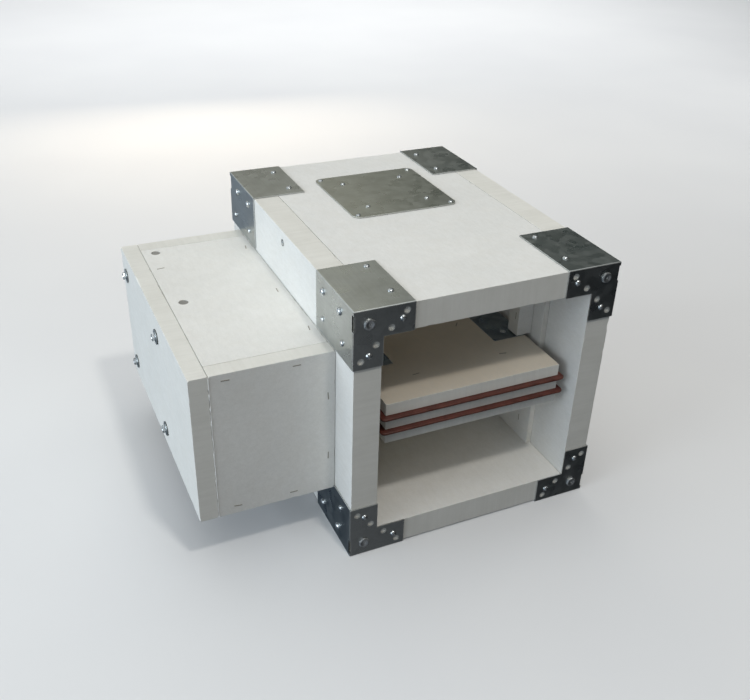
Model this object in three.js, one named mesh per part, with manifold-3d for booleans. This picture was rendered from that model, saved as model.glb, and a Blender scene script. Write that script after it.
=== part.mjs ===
// Motor-operated rectangular fire damper for a 300 x 300 mm duct.
//
// Four calcium-silicate boards make a square casing, held by eight folded steel corner brackets.
// A three-layer blade with two edge seals turns in it about a horizontal axis, from open
// (lying flat, as built here) to closed (upright against the stop battens).
// The actuator sits on the left side in a box of thinner board with a removable cover.
//
// Millimetres. X runs across the casing, Y from its front end to its rear end, Z up.
// The sizes below are measured from the casing's front lower left corner. The last lines move
// the whole part so that its origin is the middle of the box it fills, at the bottom.

import * as THREE from 'three';
import { mergeVertices } from 'three/addons/utils/BufferGeometryUtils.js';
import Module from 'manifold-3d';

const wasm = await Module();
wasm.setup();

// ---------- driving dimensions ----------

const FIT = 0.3;                      // gap between pieces that touch
const SLOT_FIT = 0.5;                 // gap round a piece let into a slot or a pocket
const OVERCUT = 1;                    // how far a cut runs past the face that it opens
const OVERLAP = 0.1;                  // how far two bodies that are joined into one run together
const HOLE_SPARE = 2;                 // how much deeper a blind hole is than what goes into it
const HOLE_SIDES = 14;                // sides of a small round hole, pin or screw

const CASING_WIDTH = 380;
const CASING_HEIGHT = 380;
const CASING_LENGTH = 500;
const BOARD = 38;                     // casing board thickness

const SHEET = 1.5;                    // corner bracket sheet
const BRACKET_SIDE = 80;              // bracket size across the casing and up it
const BRACKET_LENGTH = 120;           // bracket size along the casing
const END_FLANGE_WIDTH = 38.5;        // width of each leg of the bracket's L-shaped end flange
const CORNER_SLIT = 1.2;              // open corner between a bracket's side and end flanges
const END_HOLE_RADIUS = 4.25;
const END_HOLE_FIRST = 8.5;           // first connection hole, from the corner
const END_HOLE_STEP = 20;             // the four holes step diagonally across the L
const END_HOLE_COUNT = 4;

const BOLT_INSET_X = 19;              // corner bolt, from the casing's side
const BOLT_INSET_Z = 18;              // corner bolt, from the casing's top or bottom
const BOLT_RADIUS = 4;
const BOLT_SHANK = 30;
const BOLT_HEAD_FLATS = 13;
const BOLT_HEAD_HEIGHT = 1.7;
const BOLT_WASHER_RADIUS = 7.6;
const BOLT_WASHER_THICKNESS = 0.5;

const AXIS_Y = 165;                   // the blade turns about a line along X, here
const AXIS_Z = 192;
const BLADE_LEFT = 56;
const BLADE_RIGHT = 324;
const BLADE_FRONT_ARM = 144.5;        // from the axis to the blade's front edge
const BLADE_REAR_ARM = 140.5;         // from the axis to the blade's rear edge
const BLADE_HALF_THICKNESS = 31;
const CORE_HALF_THICKNESS = 11;       // the middle layer of the blade's three
const SEAL_THICKNESS = 4.4;
const SEAL_PROUD = 8.2;               // how far a seal stands out of the blade's edge
const SEAL_EMBEDDED = 10;             // how far it runs in between the layers
const SEAL_CORNER_RADIUS = 7;
const SEAL_INNER_RADIUS = 1;

const CHEEK_THICKNESS = 9;            // lining on each side wall, that the blade's ends close on
const CHEEK_HALF_LENGTH = 81;
const BATTEN = 25;                    // stop battens are square
const STOP_GAP = 0.5;                 // between a batten and the closed blade
const BATTEN_CLEARANCE = 1.5;         // between a batten's end and the open blade

const SHAFT_RADIUS = 6;
const SHAFT_HOLE_RADIUS = 6.3;
const SHAFT_PASSAGE_RADIUS = 7;       // where the shaft passes through a board without touching it
const SHAFT_PAST_LEG = 7;             // how far each shaft runs past the pivot bracket's leg
const BUSH_RADIUS = 10;
const BUSH_FLANGE_RADIUS = 16;
const BUSH_FLANGE_THICKNESS = 3;
const BUSH_LENGTH = 30;
const IDLE_SHAFT_REACH = 26;          // how far the idle shaft runs into its casing board

const PIVOT_PLATE_WIDTH = 52;
const PIVOT_PLATE_HALF_LENGTH = 55;
const PIVOT_PLATE_THICKNESS = 3;
const PIVOT_LEG_INSET = 14;           // the leg's distance from the blade's end
const PIVOT_LEG_HALF_LENGTH = 25;
const PIVOT_LEG_DEPTH = 39;           // how far the leg reaches below the blade's top face

const HATCH_X = 194.5;                // middle of the inspection opening in the top board
const HATCH_Y = 339;
const HATCH_PLATE_WIDTH = 168;
const HATCH_PLATE_LENGTH = 166;
const HATCH_PLATE_CORNER = 12;
const HATCH_PLUG_SIDE = 122;
const HATCH_OPENING_SIDE = 124;

const BOX_BOARD = 25;                 // actuator enclosure board thickness
const BOX_DEPTH = 190;                // how far the enclosure stands out of the casing
const BOX_FRONT = 57;
const BOX_REAR = 466;
const BOX_BOTTOM = 77;
const BOX_TOP = 297;
const CABLE_HOLE_X = -145;
const CABLE_HOLE_YS = [254, 425];
const CABLE_HOLE_RADIUS = 7;
const CABLE_PLUG_RECESS = 1.2;

const COVER_SCREW_YS = [235, 435];
const COVER_SCREW_ZS = [109, 262];
const COVER_SCREW_RADIUS = 3;
const COVER_SCREW_BITE = 22;          // how far a cover screw runs into the casing board
const COVER_WASHER_RADIUS = 11;
const COVER_WASHER_THICKNESS = 1.5;
const COVER_HEAD_FLATS = 10;
const COVER_HEAD_HEIGHT = 4.5;

const ACTUATOR_INNER = -28;           // face towards the casing
const ACTUATOR_OUTER = -100;          // face towards the cover
const ACTUATOR_FRONT = 125;
const ACTUATOR_REAR = 335;
const ACTUATOR_BOTTOM = 143;
const ACTUATOR_TOP = 241;
const ACTUATOR_CORNER = 10;
const ACTUATOR_EDGE = 3;
const HUB_RADIUS = 16;
const HUB_HOLE_RADIUS = 16.6;
const HUB_OUTER = -100.3;
const HUB_INNER = -24;
const INDICATOR_THICKNESS = 2.7;
const INDICATOR_REACH = 34;
const INDICATOR_RADIUS = 19;
const INDICATOR_HALF_WIDTH = 4;
const CLAMP_THICKNESS = 12;
const CLAMP_HALF_WIDTH = 17;
const CLAMP_HALF_HEIGHT = 21;
const SHAFT_OUTER_END = -122;

const BUTTON_X = -64;
const BUTTON_Y = 300;
const BUTTON_RADIUS = 7;
const BUTTON_PROUD = 8;
const BUTTON_DEPTH = 12;
const BUTTON_WELL_DEPTH = 20;

const MOUNT_PLATE_THICKNESS = 3;
const MOUNT_PLATE_FRONT = 108;
const MOUNT_PLATE_REAR = 352;
const MOUNT_PLATE_BOTTOM = 146;
const MOUNT_PLATE_TOP = 238;
const STANDOFF_RADIUS = 5;
const STANDOFF_YS = [140, 320];
const STANDOFF_ZS = [154, 230];

const TERMINAL_FRONT = 375;
const TERMINAL_REAR = 435;
const TERMINAL_BOTTOM = 150;
const TERMINAL_TOP = 230;
const TERMINAL_OUTER = -60;
const TERMINAL_LID = 8;
const TERMINAL_LID_LIP = 2;
const LEAD_RADIUS = 3.5;
const LEAD_SIDES = 8;
const LEAD_STEPS = 12;
const LEAD_STRAIGHT = 7;              // how far the lead runs straight out of what it leaves
const LEAD_AT_ACTUATOR = { x: -46, z: 178 };
const LEAD_AT_TERMINALS = { x: -36, z: 190 };

// ---------- worked out from them ----------

const SKIN = FIT + SHEET;             // how far a bracket stands out of the boards
const INNER_LEFT = BOARD;
const INNER_RIGHT = CASING_WIDTH - BOARD;
const INNER_BOTTOM = BOARD;
const INNER_TOP = CASING_HEIGHT - BOARD;
const BLADE_FRONT = AXIS_Y - BLADE_FRONT_ARM;
const BLADE_REAR = AXIS_Y + BLADE_REAR_ARM;
const BLADE_TOP = AXIS_Z + BLADE_HALF_THICKNESS;
const BLADE_BOTTOM = AXIS_Z - BLADE_HALF_THICKNESS;
const HALF_FIT = FIT / 2;

// ---------- materials ----------

function finish(color, roughness, metalness) {
  return new THREE.MeshStandardMaterial({ color, roughness, metalness });
}

const board = finish(0xd9d9d3, 0.9, 0);
const boxBoard = finish(0xdcdcd6, 0.9, 0);
const galvanised = finish(0x8b9096, 0.42, 0.9);
const zincPlated = finish(0xaeb2b5, 0.35, 0.95);
const seal = finish(0x56281f, 0.6, 0);
const steel = finish(0x9a9da1, 0.3, 0.95);
const bronze = finish(0xa07a45, 0.4, 0.9);
const actuatorCase = finish(0x3b3f44, 0.55, 0);
const indicatorRed = finish(0xb5382a, 0.45, 0);
const rubber = finish(0x2a2b2c, 0.8, 0);
const terminalGrey = finish(0xb9bcbc, 0.5, 0);

// ---------- shape helpers ----------

function box(x0, x1, y0, y1, z0, z1) {
  const low = [Math.min(x0, x1), Math.min(y0, y1), Math.min(z0, z1)];
  const high = [Math.max(x0, x1), Math.max(y0, y1), Math.max(z0, z1)];
  const geometry = new THREE.BoxGeometry(high[0] - low[0], high[1] - low[1], high[2] - low[2]);
  return geometry.translate((low[0] + high[0]) / 2, (low[1] + high[1]) / 2, (low[2] + high[2]) / 2);
}

// A round or many-sided bar from one end to the other of a line along 'x', 'y' or 'z'.
function bar(axis, radius, from, to, a, b, sides = 24) {
  const geometry = new THREE.CylinderGeometry(radius, radius, Math.abs(to - from), sides);
  const middle = (from + to) / 2;
  if (axis === 'x') {
    return geometry.rotateZ(Math.PI / 2).translate(middle, a, b);
  }
  if (axis === 'y') {
    return geometry.translate(a, middle, b);
  }
  return geometry.rotateX(Math.PI / 2).translate(a, b, middle);
}

// A hexagon bar, given by its size across flats.
function hexBar(axis, flats, from, to, a, b) {
  return bar(axis, flats / Math.sqrt(3), from, to, a, b, 6);
}

function roundedRectangle(x0, x1, y0, y1, radius) {
  const shape = new THREE.Shape();
  shape.moveTo(x0 + radius, y0);
  shape.lineTo(x1 - radius, y0);
  shape.absarc(x1 - radius, y0 + radius, radius, -Math.PI / 2, 0, false);
  shape.lineTo(x1, y1 - radius);
  shape.absarc(x1 - radius, y1 - radius, radius, 0, Math.PI / 2, false);
  shape.lineTo(x0 + radius, y1);
  shape.absarc(x0 + radius, y1 - radius, radius, Math.PI / 2, Math.PI, false);
  shape.lineTo(x0, y0 + radius);
  shape.absarc(x0 + radius, y0 + radius, radius, Math.PI, Math.PI * 1.5, false);
  return shape;
}

function toSolid(geometry) {
  const bare = geometry.clone();
  bare.deleteAttribute('normal');
  bare.deleteAttribute('uv');
  const merged = mergeVertices(bare, 1e-4);
  return new wasm.Manifold(new wasm.Mesh({
    numProp: 3,
    vertProperties: new Float32Array(merged.attributes.position.array),
    triVerts: new Uint32Array(merged.index.array),
  }));
}

function toGeometry(solid) {
  const mesh = solid.getMesh();
  const geometry = new THREE.BufferGeometry();
  geometry.setAttribute('position', new THREE.BufferAttribute(mesh.vertProperties, 3));
  geometry.setIndex(new THREE.BufferAttribute(mesh.triVerts, 1));
  geometry.computeVertexNormals();
  return geometry;
}

// Joins the pieces in one list, then cuts away those in the other.
function carve(pieces, cuts = []) {
  let solid = toSolid(pieces[0]);
  for (const piece of pieces.slice(1)) {
    solid = solid.add(toSolid(piece));
  }
  for (const cut of cuts) {
    solid = solid.subtract(toSolid(cut));
  }
  return toGeometry(solid);
}

const part = new THREE.Group();

function add(name, geometry, material) {
  const mesh = new THREE.Mesh(geometry, material);
  mesh.name = name;
  part.add(mesh);
}

// ---------- the eight corners ----------

// Each corner has its own way of measuring inwards from the casing's outer corner,
// so one description of a bracket or a bolt serves all eight.
const corners = [];
for (const [endName, atRear] of [['front', false], ['rear', true]]) {
  for (const [heightName, atTop] of [['top', true], ['bottom', false]]) {
    for (const [sideName, atRight] of [['left', false], ['right', true]]) {
      corners.push({
        name: `${endName}_${heightName}_${sideName}`,
        x: (inwards) => (atRight ? CASING_WIDTH - inwards : inwards),
        y: (inwards) => (atRear ? CASING_LENGTH - inwards : inwards),
        z: (inwards) => (atTop ? CASING_HEIGHT - inwards : inwards),
      });
    }
  }
}

function cornerBox(corner, x0, x1, y0, y1, z0, z1) {
  return box(corner.x(x0), corner.x(x1), corner.y(y0), corner.y(y1), corner.z(z0), corner.z(z1));
}

function cornerBar(corner, radius, y0, y1, insetX, insetZ) {
  return bar(
    'y', radius, corner.y(y0), corner.y(y1), corner.x(insetX), corner.z(insetZ), HOLE_SIDES,
  );
}

function bracketGeometry(corner) {
  const plates = [
    cornerBox(corner, -SKIN, BRACKET_SIDE, -SKIN, BRACKET_LENGTH, -SKIN, -FIT),
    cornerBox(corner, -SKIN, -FIT, CORNER_SLIT - FIT, BRACKET_LENGTH, -SKIN, BRACKET_SIDE),
    cornerBox(corner, -SKIN, END_FLANGE_WIDTH, -SKIN, -FIT, -SKIN, BRACKET_SIDE),
    cornerBox(corner, -SKIN, BRACKET_SIDE, -SKIN, -FIT, -SKIN, END_FLANGE_WIDTH),
  ];
  const holes = [
    cornerBar(corner, BOLT_RADIUS + FIT, -SKIN - OVERCUT, OVERCUT, BOLT_INSET_X, BOLT_INSET_Z),
  ];
  for (let i = 0; i < END_HOLE_COUNT; i += 1) {
    const insetX = END_HOLE_FIRST + END_HOLE_STEP * i;
    const insetZ = END_HOLE_FIRST + END_HOLE_STEP * (END_HOLE_COUNT - 1 - i);
    holes.push(cornerBar(corner, END_HOLE_RADIUS, -SKIN - OVERCUT, OVERCUT, insetX, insetZ));
  }
  return carve(plates, holes);
}

function boltGeometry(corner) {
  const washerFace = -SKIN - FIT - BOLT_WASHER_THICKNESS;
  const head = hexBar(
    'y', BOLT_HEAD_FLATS,
    corner.y(washerFace - BOLT_HEAD_HEIGHT), corner.y(washerFace + OVERLAP),
    corner.x(BOLT_INSET_X), corner.z(BOLT_INSET_Z),
  );
  return carve([
    cornerBar(corner, BOLT_RADIUS, washerFace, BOLT_SHANK, BOLT_INSET_X, BOLT_INSET_Z),
    cornerBar(corner, BOLT_WASHER_RADIUS, washerFace, -SKIN - FIT, BOLT_INSET_X, BOLT_INSET_Z),
    head,
  ]);
}

function boltHole(corner) {
  const depth = BOLT_SHANK + HOLE_SPARE;
  return cornerBar(corner, BOLT_RADIUS + FIT, -OVERCUT, depth, BOLT_INSET_X, BOLT_INSET_Z);
}

for (const corner of corners) {
  add(`bracket_${corner.name}`, bracketGeometry(corner), galvanised);
  add(`bolt_${corner.name}`, boltGeometry(corner), zincPlated);
}

// ---------- casing boards ----------

function bushPocket(innerFace, outwards) {
  const flangeEnd = innerFace + outwards * (BUSH_FLANGE_THICKNESS + FIT);
  const bodyEnd = innerFace + outwards * (BUSH_LENGTH + HOLE_SPARE);
  const mouth = innerFace - outwards * OVERCUT;
  return [
    bar('x', BUSH_FLANGE_RADIUS + FIT, mouth, flangeEnd, AXIS_Y, AXIS_Z),
    bar('x', BUSH_RADIUS + FIT, mouth, bodyEnd, AXIS_Y, AXIS_Z),
  ];
}

function coverScrewPlaces() {
  return COVER_SCREW_YS.flatMap((y) => COVER_SCREW_ZS.map((z) => [y, z]));
}

const leftHoles = corners.filter((corner) => corner.name.endsWith('left')).map(boltHole);
const rightHoles = corners.filter((corner) => corner.name.endsWith('right')).map(boltHole);
const coverScrewHoleEnd = COVER_SCREW_BITE + HOLE_SPARE;
const coverScrewHoles = coverScrewPlaces().map(
  ([y, z]) => bar('x', COVER_SCREW_RADIUS + FIT, -OVERCUT, coverScrewHoleEnd, y, z, HOLE_SIDES),
);

add('casing_left_board', carve(
  [box(0, BOARD, 0, CASING_LENGTH, 0, CASING_HEIGHT)],
  [
    ...leftHoles,
    ...bushPocket(INNER_LEFT, -1),
    bar('x', SHAFT_PASSAGE_RADIUS, -OVERCUT, INNER_LEFT + OVERCUT, AXIS_Y, AXIS_Z),
    ...coverScrewHoles,
  ],
), board);

add('casing_right_board', carve(
  [box(INNER_RIGHT, CASING_WIDTH, 0, CASING_LENGTH, 0, CASING_HEIGHT)],
  [...rightHoles, ...bushPocket(INNER_RIGHT, 1)],
), board);

const hatchHalf = HATCH_OPENING_SIDE / 2;
add('casing_top_board', carve(
  [box(INNER_LEFT + FIT, INNER_RIGHT - FIT, 0, CASING_LENGTH, INNER_TOP, CASING_HEIGHT)],
  [box(
    HATCH_X - hatchHalf, HATCH_X + hatchHalf, HATCH_Y - hatchHalf, HATCH_Y + hatchHalf,
    INNER_TOP - OVERCUT, CASING_HEIGHT + OVERCUT,
  )],
), board);

add(
  'casing_bottom_board',
  box(INNER_LEFT + FIT, INNER_RIGHT - FIT, 0, CASING_LENGTH, 0, INNER_BOTTOM),
  board,
);

// ---------- inspection hatch ----------

const hatchPlate = new THREE.ExtrudeGeometry(
  roundedRectangle(
    HATCH_X - HATCH_PLATE_WIDTH / 2, HATCH_X + HATCH_PLATE_WIDTH / 2,
    HATCH_Y - HATCH_PLATE_LENGTH / 2, HATCH_Y + HATCH_PLATE_LENGTH / 2, HATCH_PLATE_CORNER,
  ),
  { depth: SHEET, bevelEnabled: false, curveSegments: 8 },
);
hatchPlate.translate(0, 0, CASING_HEIGHT + FIT);
add('inspection_plate', hatchPlate, galvanised);

const plugHalf = HATCH_PLUG_SIDE / 2;
add('inspection_plug', box(
  HATCH_X - plugHalf, HATCH_X + plugHalf, HATCH_Y - plugHalf, HATCH_Y + plugHalf,
  INNER_TOP, CASING_HEIGHT,
), board);

// ---------- side linings and stop battens ----------

const cheekHole = bar('x', SHAFT_PASSAGE_RADIUS, INNER_LEFT, INNER_RIGHT, AXIS_Y, AXIS_Z);
const leftCheekFace = INNER_LEFT + CHEEK_THICKNESS;
const rightCheekFace = INNER_RIGHT - CHEEK_THICKNESS;

function cheek(from, to) {
  return carve([box(
    from, to, AXIS_Y - CHEEK_HALF_LENGTH, AXIS_Y + CHEEK_HALF_LENGTH,
    INNER_BOTTOM + FIT, INNER_TOP - FIT,
  )], [cheekHole]);
}

add('left_cheek', cheek(INNER_LEFT + FIT, leftCheekFace), boxBoard);
add('right_cheek', cheek(rightCheekFace, INNER_RIGHT - FIT), boxBoard);

const leftBatten = [leftCheekFace + FIT, leftCheekFace + BATTEN];
const rightBatten = [rightCheekFace - BATTEN, rightCheekFace - FIT];
const crossBatten = [leftCheekFace + BATTEN + FIT, rightCheekFace - BATTEN - FIT];

// The upper battens stop the blade's upper half from the front, the lower ones its lower half
// from behind.
const stops = [
  {
    level: 'upper',
    rear: AXIS_Y - BLADE_HALF_THICKNESS - STOP_GAP,
    bottom: BLADE_TOP + BATTEN_CLEARANCE,
    top: INNER_TOP - FIT,
    crossBottom: INNER_TOP - FIT - BATTEN,
  },
  {
    level: 'lower',
    rear: AXIS_Y + BLADE_HALF_THICKNESS + STOP_GAP + BATTEN,
    bottom: INNER_BOTTOM + FIT,
    top: BLADE_BOTTOM - BATTEN_CLEARANCE,
    crossBottom: INNER_BOTTOM + FIT,
  },
];

for (const stop of stops) {
  const front = stop.rear - BATTEN;
  const crossTop = stop.crossBottom + BATTEN;
  for (const [side, [from, to]] of [['left', leftBatten], ['right', rightBatten]]) {
    const geometry = box(from, to, front, stop.rear, stop.bottom, stop.top);
    add(`${stop.level}_${side}_stop`, geometry, boxBoard);
  }
  const [from, to] = crossBatten;
  const geometry = box(from, to, front, stop.rear, stop.crossBottom, crossTop);
  add(`${stop.level}_cross_stop`, geometry, boxBoard);
}

// ---------- blade ----------

const pivots = [
  { side: 'left', end: BLADE_LEFT, inwards: 1 },
  { side: 'right', end: BLADE_RIGHT, inwards: -1 },
];

function pivotLegBox(pivot, margin, bottom, top) {
  const near = pivot.end + pivot.inwards * (PIVOT_LEG_INSET - margin);
  const far = pivot.end + pivot.inwards * (PIVOT_LEG_INSET + PIVOT_PLATE_THICKNESS + margin);
  const reach = PIVOT_LEG_HALF_LENGTH + margin;
  return box(near, far, AXIS_Y - reach, AXIS_Y + reach, bottom, top);
}

function pivotPlateBox(pivot, margin) {
  const far = pivot.end + pivot.inwards * (PIVOT_PLATE_WIDTH + margin);
  const reach = PIVOT_PLATE_HALF_LENGTH + margin;
  const bottom = BLADE_TOP - PIVOT_PLATE_THICKNESS - margin;
  return box(pivot.end, far, AXIS_Y - reach, AXIS_Y + reach, bottom, BLADE_TOP);
}

const shaftInnerEnds = {
  left: BLADE_LEFT + PIVOT_LEG_INSET + PIVOT_PLATE_THICKNESS + SHAFT_PAST_LEG,
  right: BLADE_RIGHT - PIVOT_LEG_INSET - PIVOT_PLATE_THICKNESS - SHAFT_PAST_LEG,
};
const legBottom = BLADE_TOP - PIVOT_LEG_DEPTH;

function bladeSlab(bottom, top) {
  return box(BLADE_LEFT, BLADE_RIGHT, BLADE_FRONT, BLADE_REAR, bottom, top);
}

// The strips cut off a layer all round its edge, to let a seal in beside it.
function sealRebates(level) {
  const bottom = level - SEAL_THICKNESS / 2 - FIT;
  const top = level + SEAL_THICKNESS / 2 + FIT;
  const depth = SEAL_EMBEDDED + FIT;
  const left = BLADE_LEFT - OVERCUT;
  const right = BLADE_RIGHT + OVERCUT;
  const front = BLADE_FRONT - OVERCUT;
  const rear = BLADE_REAR + OVERCUT;
  return [
    box(left, BLADE_LEFT + depth, front, rear, bottom, top),
    box(BLADE_RIGHT - depth, right, front, rear, bottom, top),
    box(left, right, front, BLADE_FRONT + depth, bottom, top),
    box(left, right, BLADE_REAR - depth, rear, bottom, top),
  ];
}

const upperSealLevel = AXIS_Z + CORE_HALF_THICKNESS;
const lowerSealLevel = AXIS_Z - CORE_HALF_THICKNESS;
const shaftBores = [
  [BLADE_LEFT - OVERCUT, shaftInnerEnds.left + HOLE_SPARE],
  [shaftInnerEnds.right - HOLE_SPARE, BLADE_RIGHT + OVERCUT],
].map(([from, to]) => bar('x', SHAFT_HOLE_RADIUS, from, to, AXIS_Y, AXIS_Z));

add('blade_upper_layer', carve(
  [bladeSlab(upperSealLevel + HALF_FIT, BLADE_TOP)],
  [
    ...sealRebates(upperSealLevel),
    ...pivots.map((pivot) => pivotPlateBox(pivot, FIT)),
    ...pivots.map((pivot) => pivotLegBox(pivot, SLOT_FIT, AXIS_Z, BLADE_TOP)),
  ],
), board);

add('blade_middle_layer', carve(
  [bladeSlab(lowerSealLevel + HALF_FIT, upperSealLevel - HALF_FIT)],
  [
    ...sealRebates(upperSealLevel),
    ...sealRebates(lowerSealLevel),
    ...pivots.map((pivot) => pivotLegBox(pivot, SLOT_FIT, legBottom - SLOT_FIT, BLADE_TOP)),
    ...shaftBores,
  ],
), board);

add('blade_lower_layer', carve(
  [bladeSlab(BLADE_BOTTOM, lowerSealLevel - HALF_FIT)],
  sealRebates(lowerSealLevel),
), board);

function sealGeometry(level) {
  const outline = roundedRectangle(
    BLADE_LEFT - SEAL_PROUD, BLADE_RIGHT + SEAL_PROUD,
    BLADE_FRONT - SEAL_PROUD, BLADE_REAR + SEAL_PROUD, SEAL_CORNER_RADIUS,
  );
  outline.holes.push(roundedRectangle(
    BLADE_LEFT + SEAL_EMBEDDED, BLADE_RIGHT - SEAL_EMBEDDED,
    BLADE_FRONT + SEAL_EMBEDDED, BLADE_REAR - SEAL_EMBEDDED, SEAL_INNER_RADIUS,
  ));
  const settings = { depth: SEAL_THICKNESS, bevelEnabled: false, curveSegments: 6 };
  const geometry = new THREE.ExtrudeGeometry(outline, settings);
  return geometry.translate(0, 0, level - SEAL_THICKNESS / 2);
}

add('blade_upper_seal', sealGeometry(upperSealLevel), seal);
add('blade_lower_seal', sealGeometry(lowerSealLevel), seal);

for (const pivot of pivots) {
  add(`pivot_bracket_${pivot.side}`, carve(
    [pivotPlateBox(pivot, 0), pivotLegBox(pivot, 0, legBottom, BLADE_TOP - OVERLAP)],
    [bar('x', SHAFT_HOLE_RADIUS, BLADE_LEFT, BLADE_RIGHT, AXIS_Y, AXIS_Z)],
  ), galvanised);
}

const shaftRun = ['x', SHAFT_RADIUS];
add('drive_shaft', bar(...shaftRun, SHAFT_OUTER_END, shaftInnerEnds.left, AXIS_Y, AXIS_Z), steel);
add('idle_shaft', bar(
  ...shaftRun, shaftInnerEnds.right, INNER_RIGHT + IDLE_SHAFT_REACH, AXIS_Y, AXIS_Z,
), steel);

function bushGeometry(innerFace, outwards) {
  const flangeEnd = innerFace + outwards * BUSH_FLANGE_THICKNESS;
  const bodyEnd = innerFace + outwards * BUSH_LENGTH;
  return carve([
    bar('x', BUSH_FLANGE_RADIUS, innerFace, flangeEnd, AXIS_Y, AXIS_Z),
    bar('x', BUSH_RADIUS, innerFace, bodyEnd, AXIS_Y, AXIS_Z),
  ], [
    bar(
      'x', SHAFT_HOLE_RADIUS, innerFace - outwards * OVERCUT, bodyEnd + outwards * OVERCUT,
      AXIS_Y, AXIS_Z,
    ),
  ]);
}

add('drive_bush', bushGeometry(INNER_LEFT, -1), bronze);
add('idle_bush', bushGeometry(INNER_RIGHT, 1), bronze);

// ---------- actuator enclosure ----------

const boxOuter = -BOX_DEPTH;
const boxInnerFace = boxOuter + BOX_BOARD;
const panelFrom = boxInnerFace + FIT;

// The enclosure's lower edge is notched over the side flanges of the two lower brackets.
const flangeEnd = BRACKET_LENGTH + FIT;
const notchFace = -SKIN - FIT;
const notchTop = BRACKET_SIDE + FIT;
const notchBottom = BOX_BOTTOM - OVERCUT;
const bracketNotches = [
  box(notchFace, 0, 0, flangeEnd, notchBottom, notchTop),
  box(notchFace, 0, CASING_LENGTH - flangeEnd, CASING_LENGTH, notchBottom, notchTop),
];

add('enclosure_front_board', carve(
  [box(panelFrom, -FIT, BOX_FRONT, BOX_FRONT + BOX_BOARD, BOX_BOTTOM, BOX_TOP)],
  bracketNotches,
), boxBoard);
add('enclosure_rear_board', carve(
  [box(panelFrom, -FIT, BOX_REAR - BOX_BOARD, BOX_REAR, BOX_BOTTOM, BOX_TOP)],
  bracketNotches,
), boxBoard);

const lidFront = BOX_FRONT + BOX_BOARD + FIT;
const lidRear = BOX_REAR - BOX_BOARD - FIT;
const lidBottom = BOX_TOP - BOX_BOARD;
add('enclosure_top_board', carve(
  [box(panelFrom, -FIT, lidFront, lidRear, lidBottom, BOX_TOP)],
  CABLE_HOLE_YS.map((y) => bar(
    'z', CABLE_HOLE_RADIUS, lidBottom - OVERCUT, BOX_TOP + OVERCUT, CABLE_HOLE_X, y,
  )),
), boxBoard);
add('enclosure_bottom_board', carve(
  [box(panelFrom, -FIT, lidFront, lidRear, BOX_BOTTOM, BOX_BOTTOM + BOX_BOARD)],
  bracketNotches,
), boxBoard);

for (const [index, y] of CABLE_HOLE_YS.entries()) {
  const name = ['cable_plug_front', 'cable_plug_rear'][index];
  add(name, bar(
    'z', CABLE_HOLE_RADIUS - FIT, lidBottom, BOX_TOP - CABLE_PLUG_RECESS, CABLE_HOLE_X, y,
  ), rubber);
}

add('enclosure_cover', carve(
  [box(boxOuter, boxInnerFace, BOX_FRONT, BOX_REAR, BOX_BOTTOM, BOX_TOP)],
  coverScrewPlaces().map(([y, z]) => bar(
    'x', COVER_SCREW_RADIUS + FIT, boxOuter - OVERCUT, boxInnerFace + OVERCUT, y, z, HOLE_SIDES,
  )),
), boxBoard);

const coverWasherFace = boxOuter - FIT - COVER_WASHER_THICKNESS;
const coverHeadFace = coverWasherFace - COVER_HEAD_HEIGHT;
for (const [index, [y, z]] of coverScrewPlaces().entries()) {
  const place = ['front_lower', 'front_upper', 'rear_lower', 'rear_upper'][index];
  add(`cover_screw_${place}`, carve([
    bar('x', COVER_SCREW_RADIUS, coverWasherFace, COVER_SCREW_BITE, y, z, HOLE_SIDES),
    bar('x', COVER_WASHER_RADIUS, coverWasherFace, boxOuter - FIT, y, z),
    hexBar('x', COVER_HEAD_FLATS, coverHeadFace, coverWasherFace + OVERLAP, y, z),
  ]), zincPlated);
}

// ---------- actuator ----------

const actuatorBody = new THREE.ExtrudeGeometry(
  roundedRectangle(
    ACTUATOR_FRONT + ACTUATOR_EDGE, ACTUATOR_REAR - ACTUATOR_EDGE,
    ACTUATOR_BOTTOM + ACTUATOR_EDGE, ACTUATOR_TOP - ACTUATOR_EDGE, ACTUATOR_CORNER,
  ),
  {
    depth: ACTUATOR_INNER - ACTUATOR_OUTER - 2 * ACTUATOR_EDGE,
    bevelThickness: ACTUATOR_EDGE,
    bevelSize: ACTUATOR_EDGE,
    bevelSegments: 2,
    curveSegments: 5,
  },
);
// The outline was drawn in Y and Z: this turns its plane upright, facing along X.
const uprightTurn = new THREE.Matrix4().makeBasis(
  new THREE.Vector3(0, 1, 0), new THREE.Vector3(0, 0, 1), new THREE.Vector3(1, 0, 0),
);
actuatorBody.applyMatrix4(uprightTurn);
actuatorBody.translate(ACTUATOR_OUTER + ACTUATOR_EDGE, 0, 0);

add('actuator_housing', carve([actuatorBody], [
  bar(
    'x', HUB_HOLE_RADIUS, ACTUATOR_OUTER - OVERCUT, ACTUATOR_INNER + OVERCUT, AXIS_Y, AXIS_Z,
  ),
  bar(
    'z', BUTTON_RADIUS + FIT, ACTUATOR_TOP - BUTTON_WELL_DEPTH, ACTUATOR_TOP + OVERCUT,
    BUTTON_X, BUTTON_Y,
  ),
]), actuatorCase);

add('manual_release_button', bar(
  'z', BUTTON_RADIUS, ACTUATOR_TOP - BUTTON_DEPTH, ACTUATOR_TOP + BUTTON_PROUD,
  BUTTON_X, BUTTON_Y,
), indicatorRed);

add('actuator_hub', carve(
  [bar('x', HUB_RADIUS, HUB_OUTER, HUB_INNER, AXIS_Y, AXIS_Z)],
  [bar('x', SHAFT_HOLE_RADIUS, HUB_OUTER - OVERCUT, HUB_INNER + OVERCUT, AXIS_Y, AXIS_Z)],
), steel);

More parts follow.
